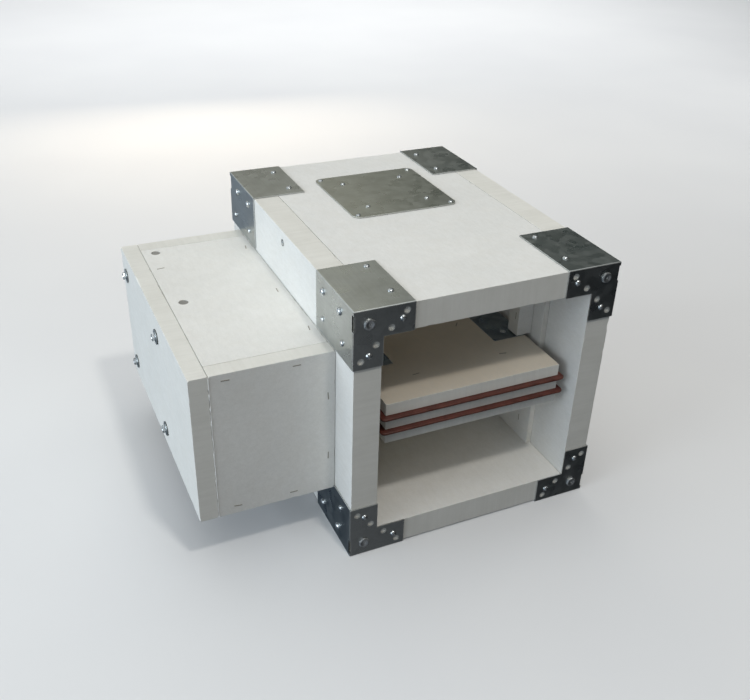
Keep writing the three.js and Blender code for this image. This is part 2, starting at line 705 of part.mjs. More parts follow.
// The pointer lies along the blade, and so does the clamp's long side.
const indicatorInner = HUB_OUTER - FIT;
const indicatorOuter = indicatorInner - INDICATOR_THICKNESS;
add('position_indicator', carve([
  bar('x', INDICATOR_RADIUS, indicatorOuter, indicatorInner, AXIS_Y, AXIS_Z),
  box(
    indicatorOuter, indicatorInner, AXIS_Y - INDICATOR_REACH, AXIS_Y,
    AXIS_Z - INDICATOR_HALF_WIDTH, AXIS_Z + INDICATOR_HALF_WIDTH,
  ),
], [
  bar('x', SHAFT_HOLE_RADIUS, indicatorOuter - OVERCUT, indicatorInner + OVERCUT, AXIS_Y, AXIS_Z),
]), indicatorRed);

const clampInner = indicatorOuter - FIT;
const clampOuter = clampInner - CLAMP_THICKNESS;
add('shaft_clamp', carve([
  box(
    clampOuter, clampInner, AXIS_Y - CLAMP_HALF_HEIGHT, AXIS_Y + CLAMP_HALF_HEIGHT,
    AXIS_Z - CLAMP_HALF_WIDTH, AXIS_Z + CLAMP_HALF_WIDTH,
  ),
], [
  bar('x', SHAFT_HOLE_RADIUS, clampOuter - OVERCUT, clampInner + OVERCUT, AXIS_Y, AXIS_Z),
]), zincPlated);

const mountPlateFace = -FIT - MOUNT_PLATE_THICKNESS;
const standoffs = STANDOFF_YS.flatMap((y) => STANDOFF_ZS.map((z) => bar(
  'x', STANDOFF_RADIUS, ACTUATOR_INNER + FIT, mountPlateFace + OVERLAP, y, z, HOLE_SIDES,
)));
add('actuator_mount', carve([
  box(
    mountPlateFace, -FIT, MOUNT_PLATE_FRONT, MOUNT_PLATE_REAR,
    MOUNT_PLATE_BOTTOM, MOUNT_PLATE_TOP,
  ),
  ...standoffs,
], [
  bar('x', HUB_HOLE_RADIUS, mountPlateFace - OVERCUT, OVERCUT, AXIS_Y, AXIS_Z),
]), galvanised);

// ---------- terminal box and its lead ----------

add('terminal_box', carve([
  box(
    TERMINAL_OUTER + TERMINAL_LID, -FIT,
    TERMINAL_FRONT + TERMINAL_LID_LIP, TERMINAL_REAR - TERMINAL_LID_LIP,
    TERMINAL_BOTTOM + TERMINAL_LID_LIP, TERMINAL_TOP - TERMINAL_LID_LIP,
  ),
  box(
    TERMINAL_OUTER, TERMINAL_OUTER + TERMINAL_LID + OVERLAP,
    TERMINAL_FRONT, TERMINAL_REAR, TERMINAL_BOTTOM, TERMINAL_TOP,
  ),
]), terminalGrey);

const leadStart = ACTUATOR_REAR + FIT;
const leadEnd = TERMINAL_FRONT + TERMINAL_LID_LIP - FIT;

function leadPoint(place, y) {
  return new THREE.Vector3(place.x, y, place.z);
}

const leadPath = new THREE.CatmullRomCurve3([
  leadPoint(LEAD_AT_ACTUATOR, leadStart),
  leadPoint(LEAD_AT_ACTUATOR, leadStart + LEAD_STRAIGHT),
  leadPoint(LEAD_AT_TERMINALS, leadEnd - LEAD_STRAIGHT),
  leadPoint(LEAD_AT_TERMINALS, leadEnd),
]);
const leadSection = new THREE.Shape();
leadSection.absarc(0, 0, LEAD_RADIUS, 0, Math.PI * 2, false);
add('actuator_lead', new THREE.ExtrudeGeometry(leadSection, {
  steps: LEAD_STEPS,
  curveSegments: LEAD_SIDES,
  bevelEnabled: false,
  extrudePath: leadPath,
}), rubber);

// ---------- origin: the middle of the box that the part fills, at the bottom ----------

const leftmost = coverHeadFace;
const rightmost = CASING_WIDTH + SKIN;
part.position.set(-(leftmost + rightmost) / 2, -CASING_LENGTH / 2, SKIN);

export default part;
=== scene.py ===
# Looks of a motor-operated fire damper: a square casing of pale mineral board held by eight folded
# steel corner brackets, with a thick pivoting blade inside and a boarded actuator box on its left.
#
# Metres, in the part's own frame: X across the casing, Y from its front end to its rear end, Z up.
# Places on the casing are given in millimetres from its front lower left corner, or as distances
# inwards from one of its eight corners, and turned into metres by casing_point and Corner.point.

import math
import random
from itertools import product

import bmesh
import bpy
from mathutils import Matrix, Vector, noise


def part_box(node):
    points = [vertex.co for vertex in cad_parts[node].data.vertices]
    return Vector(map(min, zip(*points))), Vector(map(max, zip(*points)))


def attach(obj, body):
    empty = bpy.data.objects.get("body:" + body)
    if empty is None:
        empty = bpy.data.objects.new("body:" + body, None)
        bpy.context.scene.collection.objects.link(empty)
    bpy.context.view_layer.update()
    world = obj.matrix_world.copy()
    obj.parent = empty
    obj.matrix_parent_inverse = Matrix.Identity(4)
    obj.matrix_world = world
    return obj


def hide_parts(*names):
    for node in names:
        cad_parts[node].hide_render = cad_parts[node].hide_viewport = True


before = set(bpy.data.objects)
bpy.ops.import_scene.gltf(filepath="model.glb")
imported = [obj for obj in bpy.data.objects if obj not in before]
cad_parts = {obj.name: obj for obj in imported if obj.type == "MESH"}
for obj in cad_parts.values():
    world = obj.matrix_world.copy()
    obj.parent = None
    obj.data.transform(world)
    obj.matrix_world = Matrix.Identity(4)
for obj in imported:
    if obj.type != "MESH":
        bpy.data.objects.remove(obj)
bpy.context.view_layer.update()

MM = 0.001
UP = Vector((0, 0, 1))

# ---------- driving sizes ----------

FLANGE_INSET = -1.8                 # a bracket's outer face, measured inwards from the casing
SHRINK = 0.17 * MM                  # how far a board stays inside its CAD solid, which opens its joints
BOARD_ROUNDING = 0.30 * MM          # how far a board's edges are worn round
CHIP_PITCH = 3 * MM                 # spacing of the points along a worn edge
CHIP_LIMIT = 1.1 * MM

CASING_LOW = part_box("casing_left_board")[0]
CASING_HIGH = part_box("casing_right_board")[1]
AXIS_PLACE = sum(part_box("drive_bush"), Vector()) / 2    # the blade turns about X, through here

AXES = (Vector((1, 0, 0)), Vector((0, 1, 0)), Vector((0, 0, 1)))
LEFTWARD = Vector((-1, 0, 0))

# ---------- camera, floor and light ----------

CAMERA_PLACE = Vector((-0.4618, -1.0934, 0.8846))
CAMERA_FORWARD = Vector((0.36518, 0.77591, -0.51440))
CAMERA_RIGHT = Vector((0.91117, -0.41117, 0.02665))
CAMERA_LENS = 43.22


def make_camera():
    camera = bpy.data.objects.new("camera", bpy.data.cameras.new("camera"))
    forward = CAMERA_FORWARD.normalized()
    right = (CAMERA_RIGHT - forward * CAMERA_RIGHT.dot(forward)).normalized()
    up = right.cross(forward)
    turn = Matrix((right, up, -forward)).transposed().to_4x4()
    camera.matrix_world = Matrix.Translation(CAMERA_PLACE) @ turn
    camera.data.lens = CAMERA_LENS
    camera.data.sensor_width = 36
    camera.data.clip_end = 100
    bpy.context.scene.collection.objects.link(camera)
    bpy.context.scene.camera = camera


def area_light(name, place, target, size, watts, color):
    light = bpy.data.lights.new(name, "AREA")
    light.shape = "RECTANGLE"
    light.size, light.size_y = size
    light.energy = watts
    light.color = color
    lamp = bpy.data.objects.new(name, light)
    lamp.location = place
    lamp.rotation_mode = "QUATERNION"
    lamp.rotation_quaternion = (Vector(target) - Vector(place)).to_track_quat("-Z", "Y")
    bpy.context.scene.collection.objects.link(lamp)
    return lamp


AIM = Vector((0, 0, 0.2))
KEY_DIRECTION = Vector((0.05, -0.53, 1)).normalized()
KEY_DISTANCE = 3.2
FILLS = (                           # name, place, aim, size, watts and colour; none shows in the metal
    ("ceiling", (0.2, 1.2, 3.0), AIM, (2.6, 2.2), 8, (0.95, 0.98, 1)),
    ("front_fill", (-1.8, -2.2, 1.2), AIM, (1.8, 1.0), 4.6, (0.95, 0.98, 1)),
    ("rear_fill", (0.25, 1.9, 0.62), AIM, (1.0, 0.5), 4.6, (1, 0.84, 0.62)),
    ("right_fill", (3.0, 0.6, 1.3), AIM, (1.6, 1.2), 14, (1, 0.98, 0.95)),
    ("backdrop_lamp", (1.3, 3.4, 2.6), (1.3, 3.4, 0), (4.6, 2.6), 38, (1, 1, 1)),
)
BACKDROP_SPREAD = 100


def make_lights():
    """A window on the left, a lamp above the front, and soft fills above, in front and behind."""
    area_light("key", AIM + KEY_DIRECTION * KEY_DISTANCE, AIM, (0.22, 0.22), 22, (1, 0.96, 0.89))
    area_light("left_window", (-3.0, -0.25, 1.0), AIM, (2.4, 1.6), 57, (0.85, 0.935, 1))
    for fill in FILLS:
        lamp = area_light(*fill)
        lamp.visible_glossy = False
    lamp.data.spread = math.radians(BACKDROP_SPREAD)
    bpy.context.scene.view_settings.view_transform = "Standard"


def make_world():
    """The room that lights the shaded faces and shows in the metal: dark floor, pale back wall."""
    world = bpy.data.worlds.new("room")
    world.use_nodes = True
    bpy.context.scene.world = world
    nodes, links = world.node_tree.nodes, world.node_tree.links
    direction = nodes.new("ShaderNodeTexCoord")
    split = nodes.new("ShaderNodeSeparateXYZ")
    links.new(direction.outputs["Generated"], split.inputs[0])

    def blend(axis, start, end, here, there):
        """From one colour to another as the direction's share along an axis goes from start to end."""
        share = nodes.new("ShaderNodeMapRange")
        share.inputs["From Min"].default_value = start
        share.inputs["From Max"].default_value = end
        links.new(split.outputs[axis], share.inputs["Value"])
        mixed = nodes.new("ShaderNodeMix")
        mixed.data_type = "RGBA"
        links.new(share.outputs[0], mixed.inputs["Factor"])
        for name, value in (("A", here), ("B", there)):
            if isinstance(value, tuple):
                mixed.inputs[name].default_value = (*value, 1)
            else:
                links.new(value, mixed.inputs[name])
        return mixed.outputs["Result"]

    right_wall = (0.030, 0.042, 0.038)
    back_low = blend("X", 0.365, 0.455, (0.105, 0.103, 0.090), right_wall)
    back_high = blend("X", 0.365, 0.455, (0.77, 0.76, 0.655), right_wall)
    back_wall = blend("Z", 0.30, 0.50, back_low, back_high)
    walls = blend("Y", -0.1, 0.5, (0.045, 0.040, 0.032), back_wall)
    walls = blend("X", -0.35, -0.9, walls, (0.40, 0.46, 0.52))
    above = blend("Z", 0.60, 0.80, walls, (0.62, 0.64, 0.65))
    ground = blend("X", 0.47, 0.28, (0.006, 0.008, 0.010), (0.137, 0.142, 0.150))
    ground_left = blend("Z", -0.62, -0.40, (0.012, 0.024, 0.040), (0.24, 0.285, 0.335))
    ground = blend("X", 0.15, -0.20, ground, ground_left)
    room = blend("Z", -0.12, 0.10, ground, above)
    path = nodes.new("ShaderNodeLightPath")
    seen = nodes.new("ShaderNodeMix")
    seen.data_type = "RGBA"
    seen.inputs["B"].default_value = (0.72, 0.73, 0.74, 1)
    links.new(path.outputs["Is Camera Ray"], seen.inputs["Factor"])
    links.new(room, seen.inputs["A"])
    links.new(seen.outputs["Result"], nodes["Background"].inputs["Color"])


FLOOR_REACH = 9


def make_floor():
    """Plain pale paper. It is left out of reflections and bounced light: the room was darker."""
    floor_mesh = bpy.data.meshes.new("floor")
    corners = [(x * FLOOR_REACH, y * FLOOR_REACH, 0) for x, y in ((-1, -1), (1, -1), (1, 1), (-1, 1))]
    floor_mesh.from_pydata(corners, [], [(0, 1, 2, 3)])
    floor = bpy.data.objects.new("floor", floor_mesh)
    bpy.context.scene.collection.objects.link(floor)
    paper = Shading("floor_paper")
    broad = paper.noise(1.5, detail=2)
    paper.base_color(paper.mix(paper.span(broad, 0.3, 0.7), (0.74, 0.745, 0.76), (0.775, 0.78, 0.79)))
    paper.set("Roughness", 0.9)
    paper.bump((paper.noise(400, detail=3), 0.05 * MM))
    floor_mesh.materials.append(paper.material)
    floor.visible_glossy = False
    floor.visible_diffuse = False


# ---------- materials ----------


class Shading:
    """One material, built a node at a time. Its methods return the socket that the next step uses."""

    def __init__(self, name):
        self.material = bpy.data.materials.new(name)
        self.material.use_nodes = True
        self.tree = self.material.node_tree
        self.shader = self.tree.nodes["Principled BSDF"]
        self.place = self.tree.nodes.new("ShaderNodeTexCoord").outputs["Object"]

    def node(self, kind, inputs=None, **settings):
        made = self.tree.nodes.new(kind)
        for name, value in settings.items():
            setattr(made, name, value)
        for name, value in (inputs or {}).items():
            self.feed(made.inputs[name], value)
        return made

    def feed(self, socket, value):
        if isinstance(value, bpy.types.NodeSocket):
            self.tree.links.new(value, socket)
        elif isinstance(value, tuple) and len(value) == 3 and socket.type == "RGBA":
            socket.default_value = (*value, 1)
        else:
            socket.default_value = value

    def set(self, name, value):
        self.feed(self.shader.inputs[name], value)

    def base_color(self, value):
        self.set("Base Color", value)

    def stretched(self, stretch):
        """The object's own coordinates, drawn out along an axis by a small number on it."""
        if stretch is None:
            return self.place
        return self.node("ShaderNodeMapping", {"Vector": self.place, "Scale": stretch}).outputs[0]

    def noise(self, scale, detail=4, roughness=0.55, stretch=None, distortion=0):
        inputs = {
            "Vector": self.stretched(stretch), "Scale": scale, "Detail": detail,
            "Roughness": roughness, "Distortion": distortion,
        }
        return self.node("ShaderNodeTexNoise", inputs).outputs["Fac"]

    def cells(self, scale, output="Distance"):
        inputs = {"Vector": self.place, "Scale": scale}
        return self.node("ShaderNodeTexVoronoi", inputs).outputs[output]

    def span(self, value, low, high, from_value=0.0, to_value=1.0):
        """Turns the range from low to high into the range from from_value to to_value."""
        inputs = {
            "Value": value, "From Min": low, "From Max": high,
            "To Min": from_value, "To Max": to_value,
        }
        return self.node("ShaderNodeMapRange", inputs).outputs[0]

    def calculate(self, operation, a, b=0.0):
        made = self.node("ShaderNodeMath", operation=operation)
        self.feed(made.inputs[0], a)
        self.feed(made.inputs[1], b)
        return made.outputs[0]

    def mix(self, factor, a, b):
        made = self.node("ShaderNodeMix", data_type="RGBA")
        self.feed(made.inputs["Factor"], factor)
        self.feed(made.inputs["A"], a)
        self.feed(made.inputs["B"], b)
        return made.outputs["Result"]

    def over(self, color, mask, amount, tint):
        """Lays a tint over a colour, where the mask is, as strongly as the amount says."""
        return self.mix(self.calculate("MULTIPLY", mask, amount), color, tint)

    def bump(self, *layers):
        """Each layer is a height socket and the height, in metres, that a step of one stands for."""
        normal = None
        for height, distance in layers:
            inputs = {"Height": height, "Distance": distance, "Strength": 1.0}
            if normal is not None:
                inputs["Normal"] = normal
            normal = self.node("ShaderNodeBump", inputs).outputs[0]
        self.set("Normal", normal)

    def edges(self, radius, strength):
        """Rises from 0 on a flat stretch to 1 within that distance of a convex or concave edge."""
        bevel = self.node("ShaderNodeBevel", {"Radius": radius}, samples=6).outputs[0]
        true_normal = self.node("ShaderNodeNewGeometry").outputs["Normal"]
        dot = self.node("ShaderNodeVectorMath", operation="DOT_PRODUCT")
        self.feed(dot.inputs[0], bevel)
        self.feed(dot.inputs[1], true_normal)
        away = self.calculate("SUBTRACT", 1.0, dot.outputs["Value"])
        return self.span(away, 0.0, strength)


def board_face(name, light, dark, speckle):
    """The smooth face of a mineral board: broad clouding, fine fibres, pin-holes and faint scuffs."""
    board = Shading(name)
    clouds = board.span(board.noise(9, detail=5, roughness=0.6), 0.32, 0.68)
    color = board.mix(clouds, dark, light)
    fibres = board.span(board.noise(160, detail=6, roughness=0.7, stretch=(1, 0.35, 1)), 0.35, 0.7)
    color = board.over(color, fibres, 0.22, (0.55, 0.545, 0.51))
    sand = board.span(board.noise(640, detail=3, roughness=0.7), 0.40, 0.68)
    color = board.over(color, sand, 0.20, (0.60, 0.595, 0.56))
    blotches = board.span(board.noise(48, detail=4, roughness=0.6), 0.42, 0.66)
    color = board.over(color, blotches, 0.10, (0.70, 0.66, 0.58))
    grains = board.span(board.cells(520), 0.10, 0.0)
    grain_places = board.span(board.noise(38, detail=2), 0.48, 0.62)
    grain_dots = board.calculate("MULTIPLY", grains, grain_places)
    color = board.over(color, grain_dots, speckle, (0.30, 0.29, 0.26))
    scuff_shape = board.noise(26, detail=7, roughness=0.75, stretch=(0.35, 1, 1), distortion=0.8)
    scuffs = board.span(scuff_shape, 0.655, 0.72)
    color = board.over(color, scuffs, 0.30, (0.43, 0.43, 0.41))
    worn = board.edges(1.6 * MM, 0.22)
    worn_places = board.span(board.noise(120, detail=4), 0.42, 0.62)
    color = board.over(color, worn, worn_places, (0.86, 0.85, 0.81))
    board.base_color(color)
    board.set("Roughness", board.span(board.noise(60, detail=4), 0.3, 0.7, 0.82, 0.94))
    board.set("Specular IOR Level", 0.25)
    board.bump(
        (board.noise(14, detail=3), 0.25 * MM),
        (board.noise(300, detail=6, roughness=0.7), 0.10 * MM),
        (grain_dots, -0.25 * MM),
        (scuffs, -0.12 * MM),
    )
    return board.material


def board_cut_edge(name, thickness_axis):
    """A sawn edge: warmer, coarser, with saw marks straight through the board."""
    edge = Shading(name)
    along_saw = [1.0, 1.0, 1.0]
    along_saw[thickness_axis] = 0.06
    marks = edge.noise(190, detail=4, roughness=0.6, stretch=tuple(along_saw))
    clouds = edge.span(edge.noise(22, detail=5, roughness=0.65), 0.3, 0.7)
    color = edge.mix(clouds, (0.725, 0.715, 0.665), (0.785, 0.775, 0.73))
    color = edge.mix(edge.span(marks, 0.35, 0.75, 0, 0.22), color, (0.55, 0.54, 0.49))
    pores = edge.span(edge.cells(430), 0.16, 0.02)
    pore_places = edge.span(edge.noise(70, detail=3), 0.45, 0.6)
    pits = edge.calculate("MULTIPLY", pores, pore_places)
    color = edge.over(color, pits, 0.5, (0.36, 0.34, 0.29))
    edge.base_color(color)
    edge.set("Roughness", edge.span(edge.noise(80, detail=3), 0.3, 0.7, 0.86, 0.97))
    edge.set("Specular IOR Level", 0.2)
    edge.bump(
        (marks, 0.15 * MM),
        (edge.noise(420, detail=5, roughness=0.7), 0.14 * MM),
        (pits, -0.4 * MM),
    )
    return edge.material


def galvanised(name, tint, dark_tint, roll_axis, metal=0.97):
    """Zinc-coated sheet: dull grains of zinc, rolling lines, water marks and bright edges, which are partly
    rubbed wear and partly a painted highlight.
    """
    zinc = Shading(name)
    spangle_color = zinc.cells(95, output="Color")
    spangle = zinc.node("ShaderNodeSeparateColor", {"Color": spangle_color}).outputs[0]
    along_roll = [1.0, 1.0, 1.0]
    along_roll[roll_axis] = 0.03
    lines = zinc.noise(420, detail=4, roughness=0.6, stretch=tuple(along_roll))
    stains = zinc.span(zinc.noise(24, detail=5, roughness=0.6, distortion=0.15), 0.30, 0.72)
    color = zinc.mix(stains, tint, dark_tint)
    color = zinc.over(color, spangle, 0.16, (0.78, 0.79, 0.78))
    color = zinc.mix(zinc.span(lines, 0.45, 0.8, 0, 0.22), color, (0.24, 0.25, 0.25))
    # Paler, less metallic edges: partly rubbed wear, partly a painted highlight along the edges and folds.
    pale_edges = zinc.edges(1.8 * MM, 0.22)
    color = zinc.over(color, pale_edges, 0.7, (0.80, 0.81, 0.80))
    zinc.base_color(color)
    zinc.set("Metallic", zinc.span(pale_edges, 0, 1, metal, 0.62))
    rough = zinc.calculate("ADD", zinc.span(spangle, 0, 1, 0.24, 0.33), zinc.span(stains, 0, 1, 0, 0.06))
    zinc.set("Roughness", rough)
    zinc.bump(
        (lines, 0.012 * MM),
        (zinc.noise(16, detail=2), 0.03 * MM),
    )
    return zinc.material


def plated(name, tint, roughness, pale_edge_width=0.35 * MM):
    """Bright zinc plate on a small forged or turned piece, duller in patches, with pale edges that are
    partly rubbed wear and partly a painted highlight.
    """
    plate = Shading(name)
    patches = plate.span(plate.noise(260, detail=5, roughness=0.6), 0.35, 0.68)
    dull = tuple(channel * 0.62 for channel in tint)
    color = plate.mix(patches, dull, tint)
    # Paler, less metallic edges: partly rubbed wear, partly a painted highlight.
    pale_edges = plate.edges(pale_edge_width, 0.35)
    plate.base_color(plate.over(color, pale_edges, 0.6, (0.90, 0.91, 0.90)))
    plate.set("Metallic", plate.span(pale_edges, 0, 1, 0.94, 0.55))
    plate.set("Roughness", plate.span(patches, 0, 1, roughness + 0.12, roughness))
    plate.bump((plate.noise(900, detail=4), 0.02 * MM))
    return plate.material


def seal_rubber():
    """Dark red-brown seal strip: dusty, slightly glossy, with fine lines along its length."""
    rubber = Shading("edge_seal_rubber")
    dust = rubber.span(rubber.noise(75, detail=6, roughness=0.65), 0.38, 0.70)
    color = rubber.mix(dust, (0.080, 0.019, 0.012), (0.145, 0.040, 0.027))
    flecks = rubber.span(rubber.noise(700, detail=3), 0.62, 0.72)
    color = rubber.over(color, flecks, 0.22, (0.44, 0.33, 0.28))
    rubber.base_color(color)
    rubber.set("Roughness", rubber.span(dust, 0, 1, 0.36, 0.60))
    rubber.bump(
        (rubber.noise(520, detail=4, stretch=(0.3, 0.3, 1)), 0.06 * MM),
        (rubber.noise(45, detail=3), 0.20 * MM),
    )
    return rubber.material


def moulded_plastic(name, tint, roughness, grain):
    """Moulded case plastic: spark-eroded grain, handling marks and paler rubbed edges."""
    plastic = Shading(name)
    handled = plastic.span(plastic.noise(32, detail=6, roughness=0.65), 0.35, 0.7)
    lighter = tuple(min(1.0, channel * 1.28 + 0.012) for channel in tint)
    color = plastic.mix(handled, tint, lighter)
    pale_edges = plastic.edges(0.8 * MM, 0.3)
    pale = tuple(min(1.0, channel * 1.7 + 0.05) for channel in tint)
    plastic.base_color(plastic.over(color, pale_edges, 0.45, pale))
    plastic.set("Roughness", plastic.span(handled, 0, 1, roughness, roughness + 0.14))
    plastic.bump((plastic.cells(1500), grain), (plastic.noise(20, detail=2), 0.08 * MM))
    return plastic.material


FACE = {
    "casing": board_face("casing_board_face", (0.83, 0.83, 0.81), (0.775, 0.778, 0.76), 0.55),
    # The blade's board is warmer than the casing's: partly its own tone, partly painted warm shade of the
    # casing's inside.
    "blade": board_face("blade_board_face", (0.745, 0.67, 0.56), (0.67, 0.595, 0.49), 0.5),
    "enclosure": board_face("enclosure_board_face", (0.84, 0.835, 0.805), (0.785, 0.78, 0.75), 0.5),
}
CUT_EDGE = [board_cut_edge(f"board_cut_edge_{'xyz'[axis]}", axis) for axis in range(3)]
BRACKET_ZINC = galvanised("bracket_zinc", (0.50, 0.53, 0.525), (0.41, 0.43, 0.42), 1)
# Paler, less metallic zinc on the folds: a painted highlight line along each bend.
BEND_HIGHLIGHT_ZINC = galvanised("bracket_bend_zinc", (0.68, 0.71, 0.69), (0.55, 0.58, 0.57), 1, metal=0.68)
# Near-black for the cut walls of the slot at each bracket's corner: painted shade in the slot.
SLOT_SHADE_STEEL = plated("sheared_steel", (0.05, 0.052, 0.055), 0.55)
# Darker, bluer zinc on the blade's pivot plates: painted shade and a painted dark reflection of the
# casing's inside.
PIVOT_SHADED_ZINC = galvanised("pivot_zinc", (0.20, 0.25, 0.29), (0.14, 0.17, 0.20), 1)
PLATE_ZINC = galvanised("inspection_plate_zinc", (0.54, 0.56, 0.515), (0.455, 0.47, 0.43), 0)
FASTENER_ZINC = plated("fastener_zinc", (0.80, 0.84, 0.86), 0.22)
# The wide pale edges on the bolt heads are a painted highlight round their rims.
BOLT_ZINC = plated("bolt_zinc", (0.84, 0.87, 0.88), 0.26, pale_edge_width=0.9 * MM)
WASHER_ZINC = plated("washer_zinc", (0.30, 0.32, 0.31), 0.34)
STAPLE_WIRE = moulded_plastic("staple_wire", (0.24, 0.215, 0.175), 0.42, 0.01 * MM)
SHAFT_STEEL = plated("shaft_steel", (0.58, 0.59, 0.60), 0.28)
BUSH_BRONZE = plated("bush_bronze", (0.60, 0.42, 0.20), 0.32)
SEAL_RUBBER = seal_rubber()
CASE_PLASTIC = moulded_plastic("actuator_case_plastic", (0.045, 0.050, 0.056), 0.42, 0.03 * MM)
RED_PLASTIC = moulded_plastic("red_plastic", (0.52, 0.045, 0.03), 0.28, 0.01 * MM)
TERMINAL_PLASTIC = moulded_plastic("terminal_plastic", (0.46, 0.47, 0.47), 0.40, 0.02 * MM)
BLACK_RUBBER = moulded_plastic("black_rubber", (0.018, 0.018, 0.018), 0.62, 0.02 * MM)
PLUG_RUBBER = moulded_plastic("plug_rubber", (0.25, 0.245, 0.225), 0.66, 0.03 * MM)
FILLER_PASTE = board_face("filler_paste", (0.97, 0.97, 0.97), (0.93, 0.93, 0.92), 0.1)

# ---------- making and placing pieces ----------


def new_piece(name, bm, materials, body, replaced=(), smooth_angle=None):
    """Turns a bmesh into a finished piece: names it, gives it its materials and lets it ride."""
    bmesh.ops.dissolve_degenerate(bm, dist=0.004 * MM, edges=bm.edges)
    bmesh.ops.recalc_face_normals(bm, faces=bm.faces)
    mesh = bpy.data.meshes.new(name)
    bm.to_mesh(mesh)
    bm.free()
    for material in materials:
        mesh.materials.append(material)
    if smooth_angle is not None:
        for polygon in mesh.polygons:
            polygon.use_smooth = True
        mesh.set_sharp_from_angle(angle=math.radians(smooth_angle))
    piece = bpy.data.objects.new(name, mesh)
    bpy.context.scene.collection.objects.link(piece)
    if smooth_angle is not None:
        weighted = piece.modifiers.new("weighted_normals", "WEIGHTED_NORMAL")
        weighted.keep_sharp = True
    if replaced:
        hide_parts(*replaced)
    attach(piece, body)
    return piece


def cad_copy(node):
    """A node's solid as a clean bmesh, with flat faces in one piece."""
    bm = bmesh.new()
    bm.from_mesh(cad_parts[node].data)
    bmesh.ops.remove_doubles(bm, verts=bm.verts, dist=0.003 * MM)
    bmesh.ops.dissolve_limit(bm, angle_limit=math.radians(0.6), verts=bm.verts, edges=bm.edges)
    return bm


def boolean(bm, tool, operation):
    """Cuts or meets one bmesh with another, exactly."""
    target_mesh, tool_mesh = bpy.data.meshes.new("target"), bpy.data.meshes.new("tool")
    bm.to_mesh(target_mesh)
    tool.to_mesh(tool_mesh)
    target = bpy.data.objects.new("target", target_mesh)
    cutter = bpy.data.objects.new("tool", tool_mesh)
    for item in (target, cutter):
        bpy.context.scene.collection.objects.link(item)
    modifier = target.modifiers.new("boolean", "BOOLEAN")
    modifier.operation = operation
    modifier.solver = "EXACT"
    modifier.object = cutter
    bpy.context.view_layer.update()
    evaluated = target.evaluated_get(bpy.context.evaluated_depsgraph_get())
    result = bmesh.new()
    result.from_mesh(evaluated.to_mesh())
    evaluated.to_mesh_clear()
    for item in (target, cutter):
        bpy.data.objects.remove(item)
    bpy.data.meshes.remove(target_mesh)
    bpy.data.meshes.remove(tool_mesh)
    bm.free()
    tool.free()
    return result


def sharp_edges(bm, angle):
    return [
        edge for edge in bm.edges
        if len(edge.link_faces) == 2 and edge.calc_face_angle(0) > math.radians(angle)
    ]


def rounded_copy(node, radius, segments=2, angle=40):
    """A node's solid with its sharp edges rounded."""
    bm = cad_copy(node)
    bmesh.ops.bevel(
        bm, geom=sharp_edges(bm, angle), offset=radius, segments=segments,
        profile=0.5, affect="EDGES", clamp_overlap=True,
    )
    return bm


def dressed(node, suffix, material, body, slot, radius, smooth_angle=38, **rounding):
    """A node's solid with rounded edges and a finer material, in place of the plain one."""
    bm = rounded_copy(node, radius, **rounding)
    new_piece(f"{node}_{suffix}", bm, [material], body, [node], smooth_angle)


def chip_depth(point):
    """How far an edge is worn away at a point: a little everywhere, and a bite here and there."""
    wobble = 0.10 * MM * (0.6 + noise.noise(point * 240))
    bite = max(0.0, noise.noise(point * 62 + Vector((7, 3, 5))) - 0.36) * 5.0 * MM
    nibble = max(0.0, noise.noise(point * 210 + Vector((1, 9, 4))) - 0.32) * 1.8 * MM
    return min(CHIP_LIMIT, max(0.0, wobble) + bite + nibble)


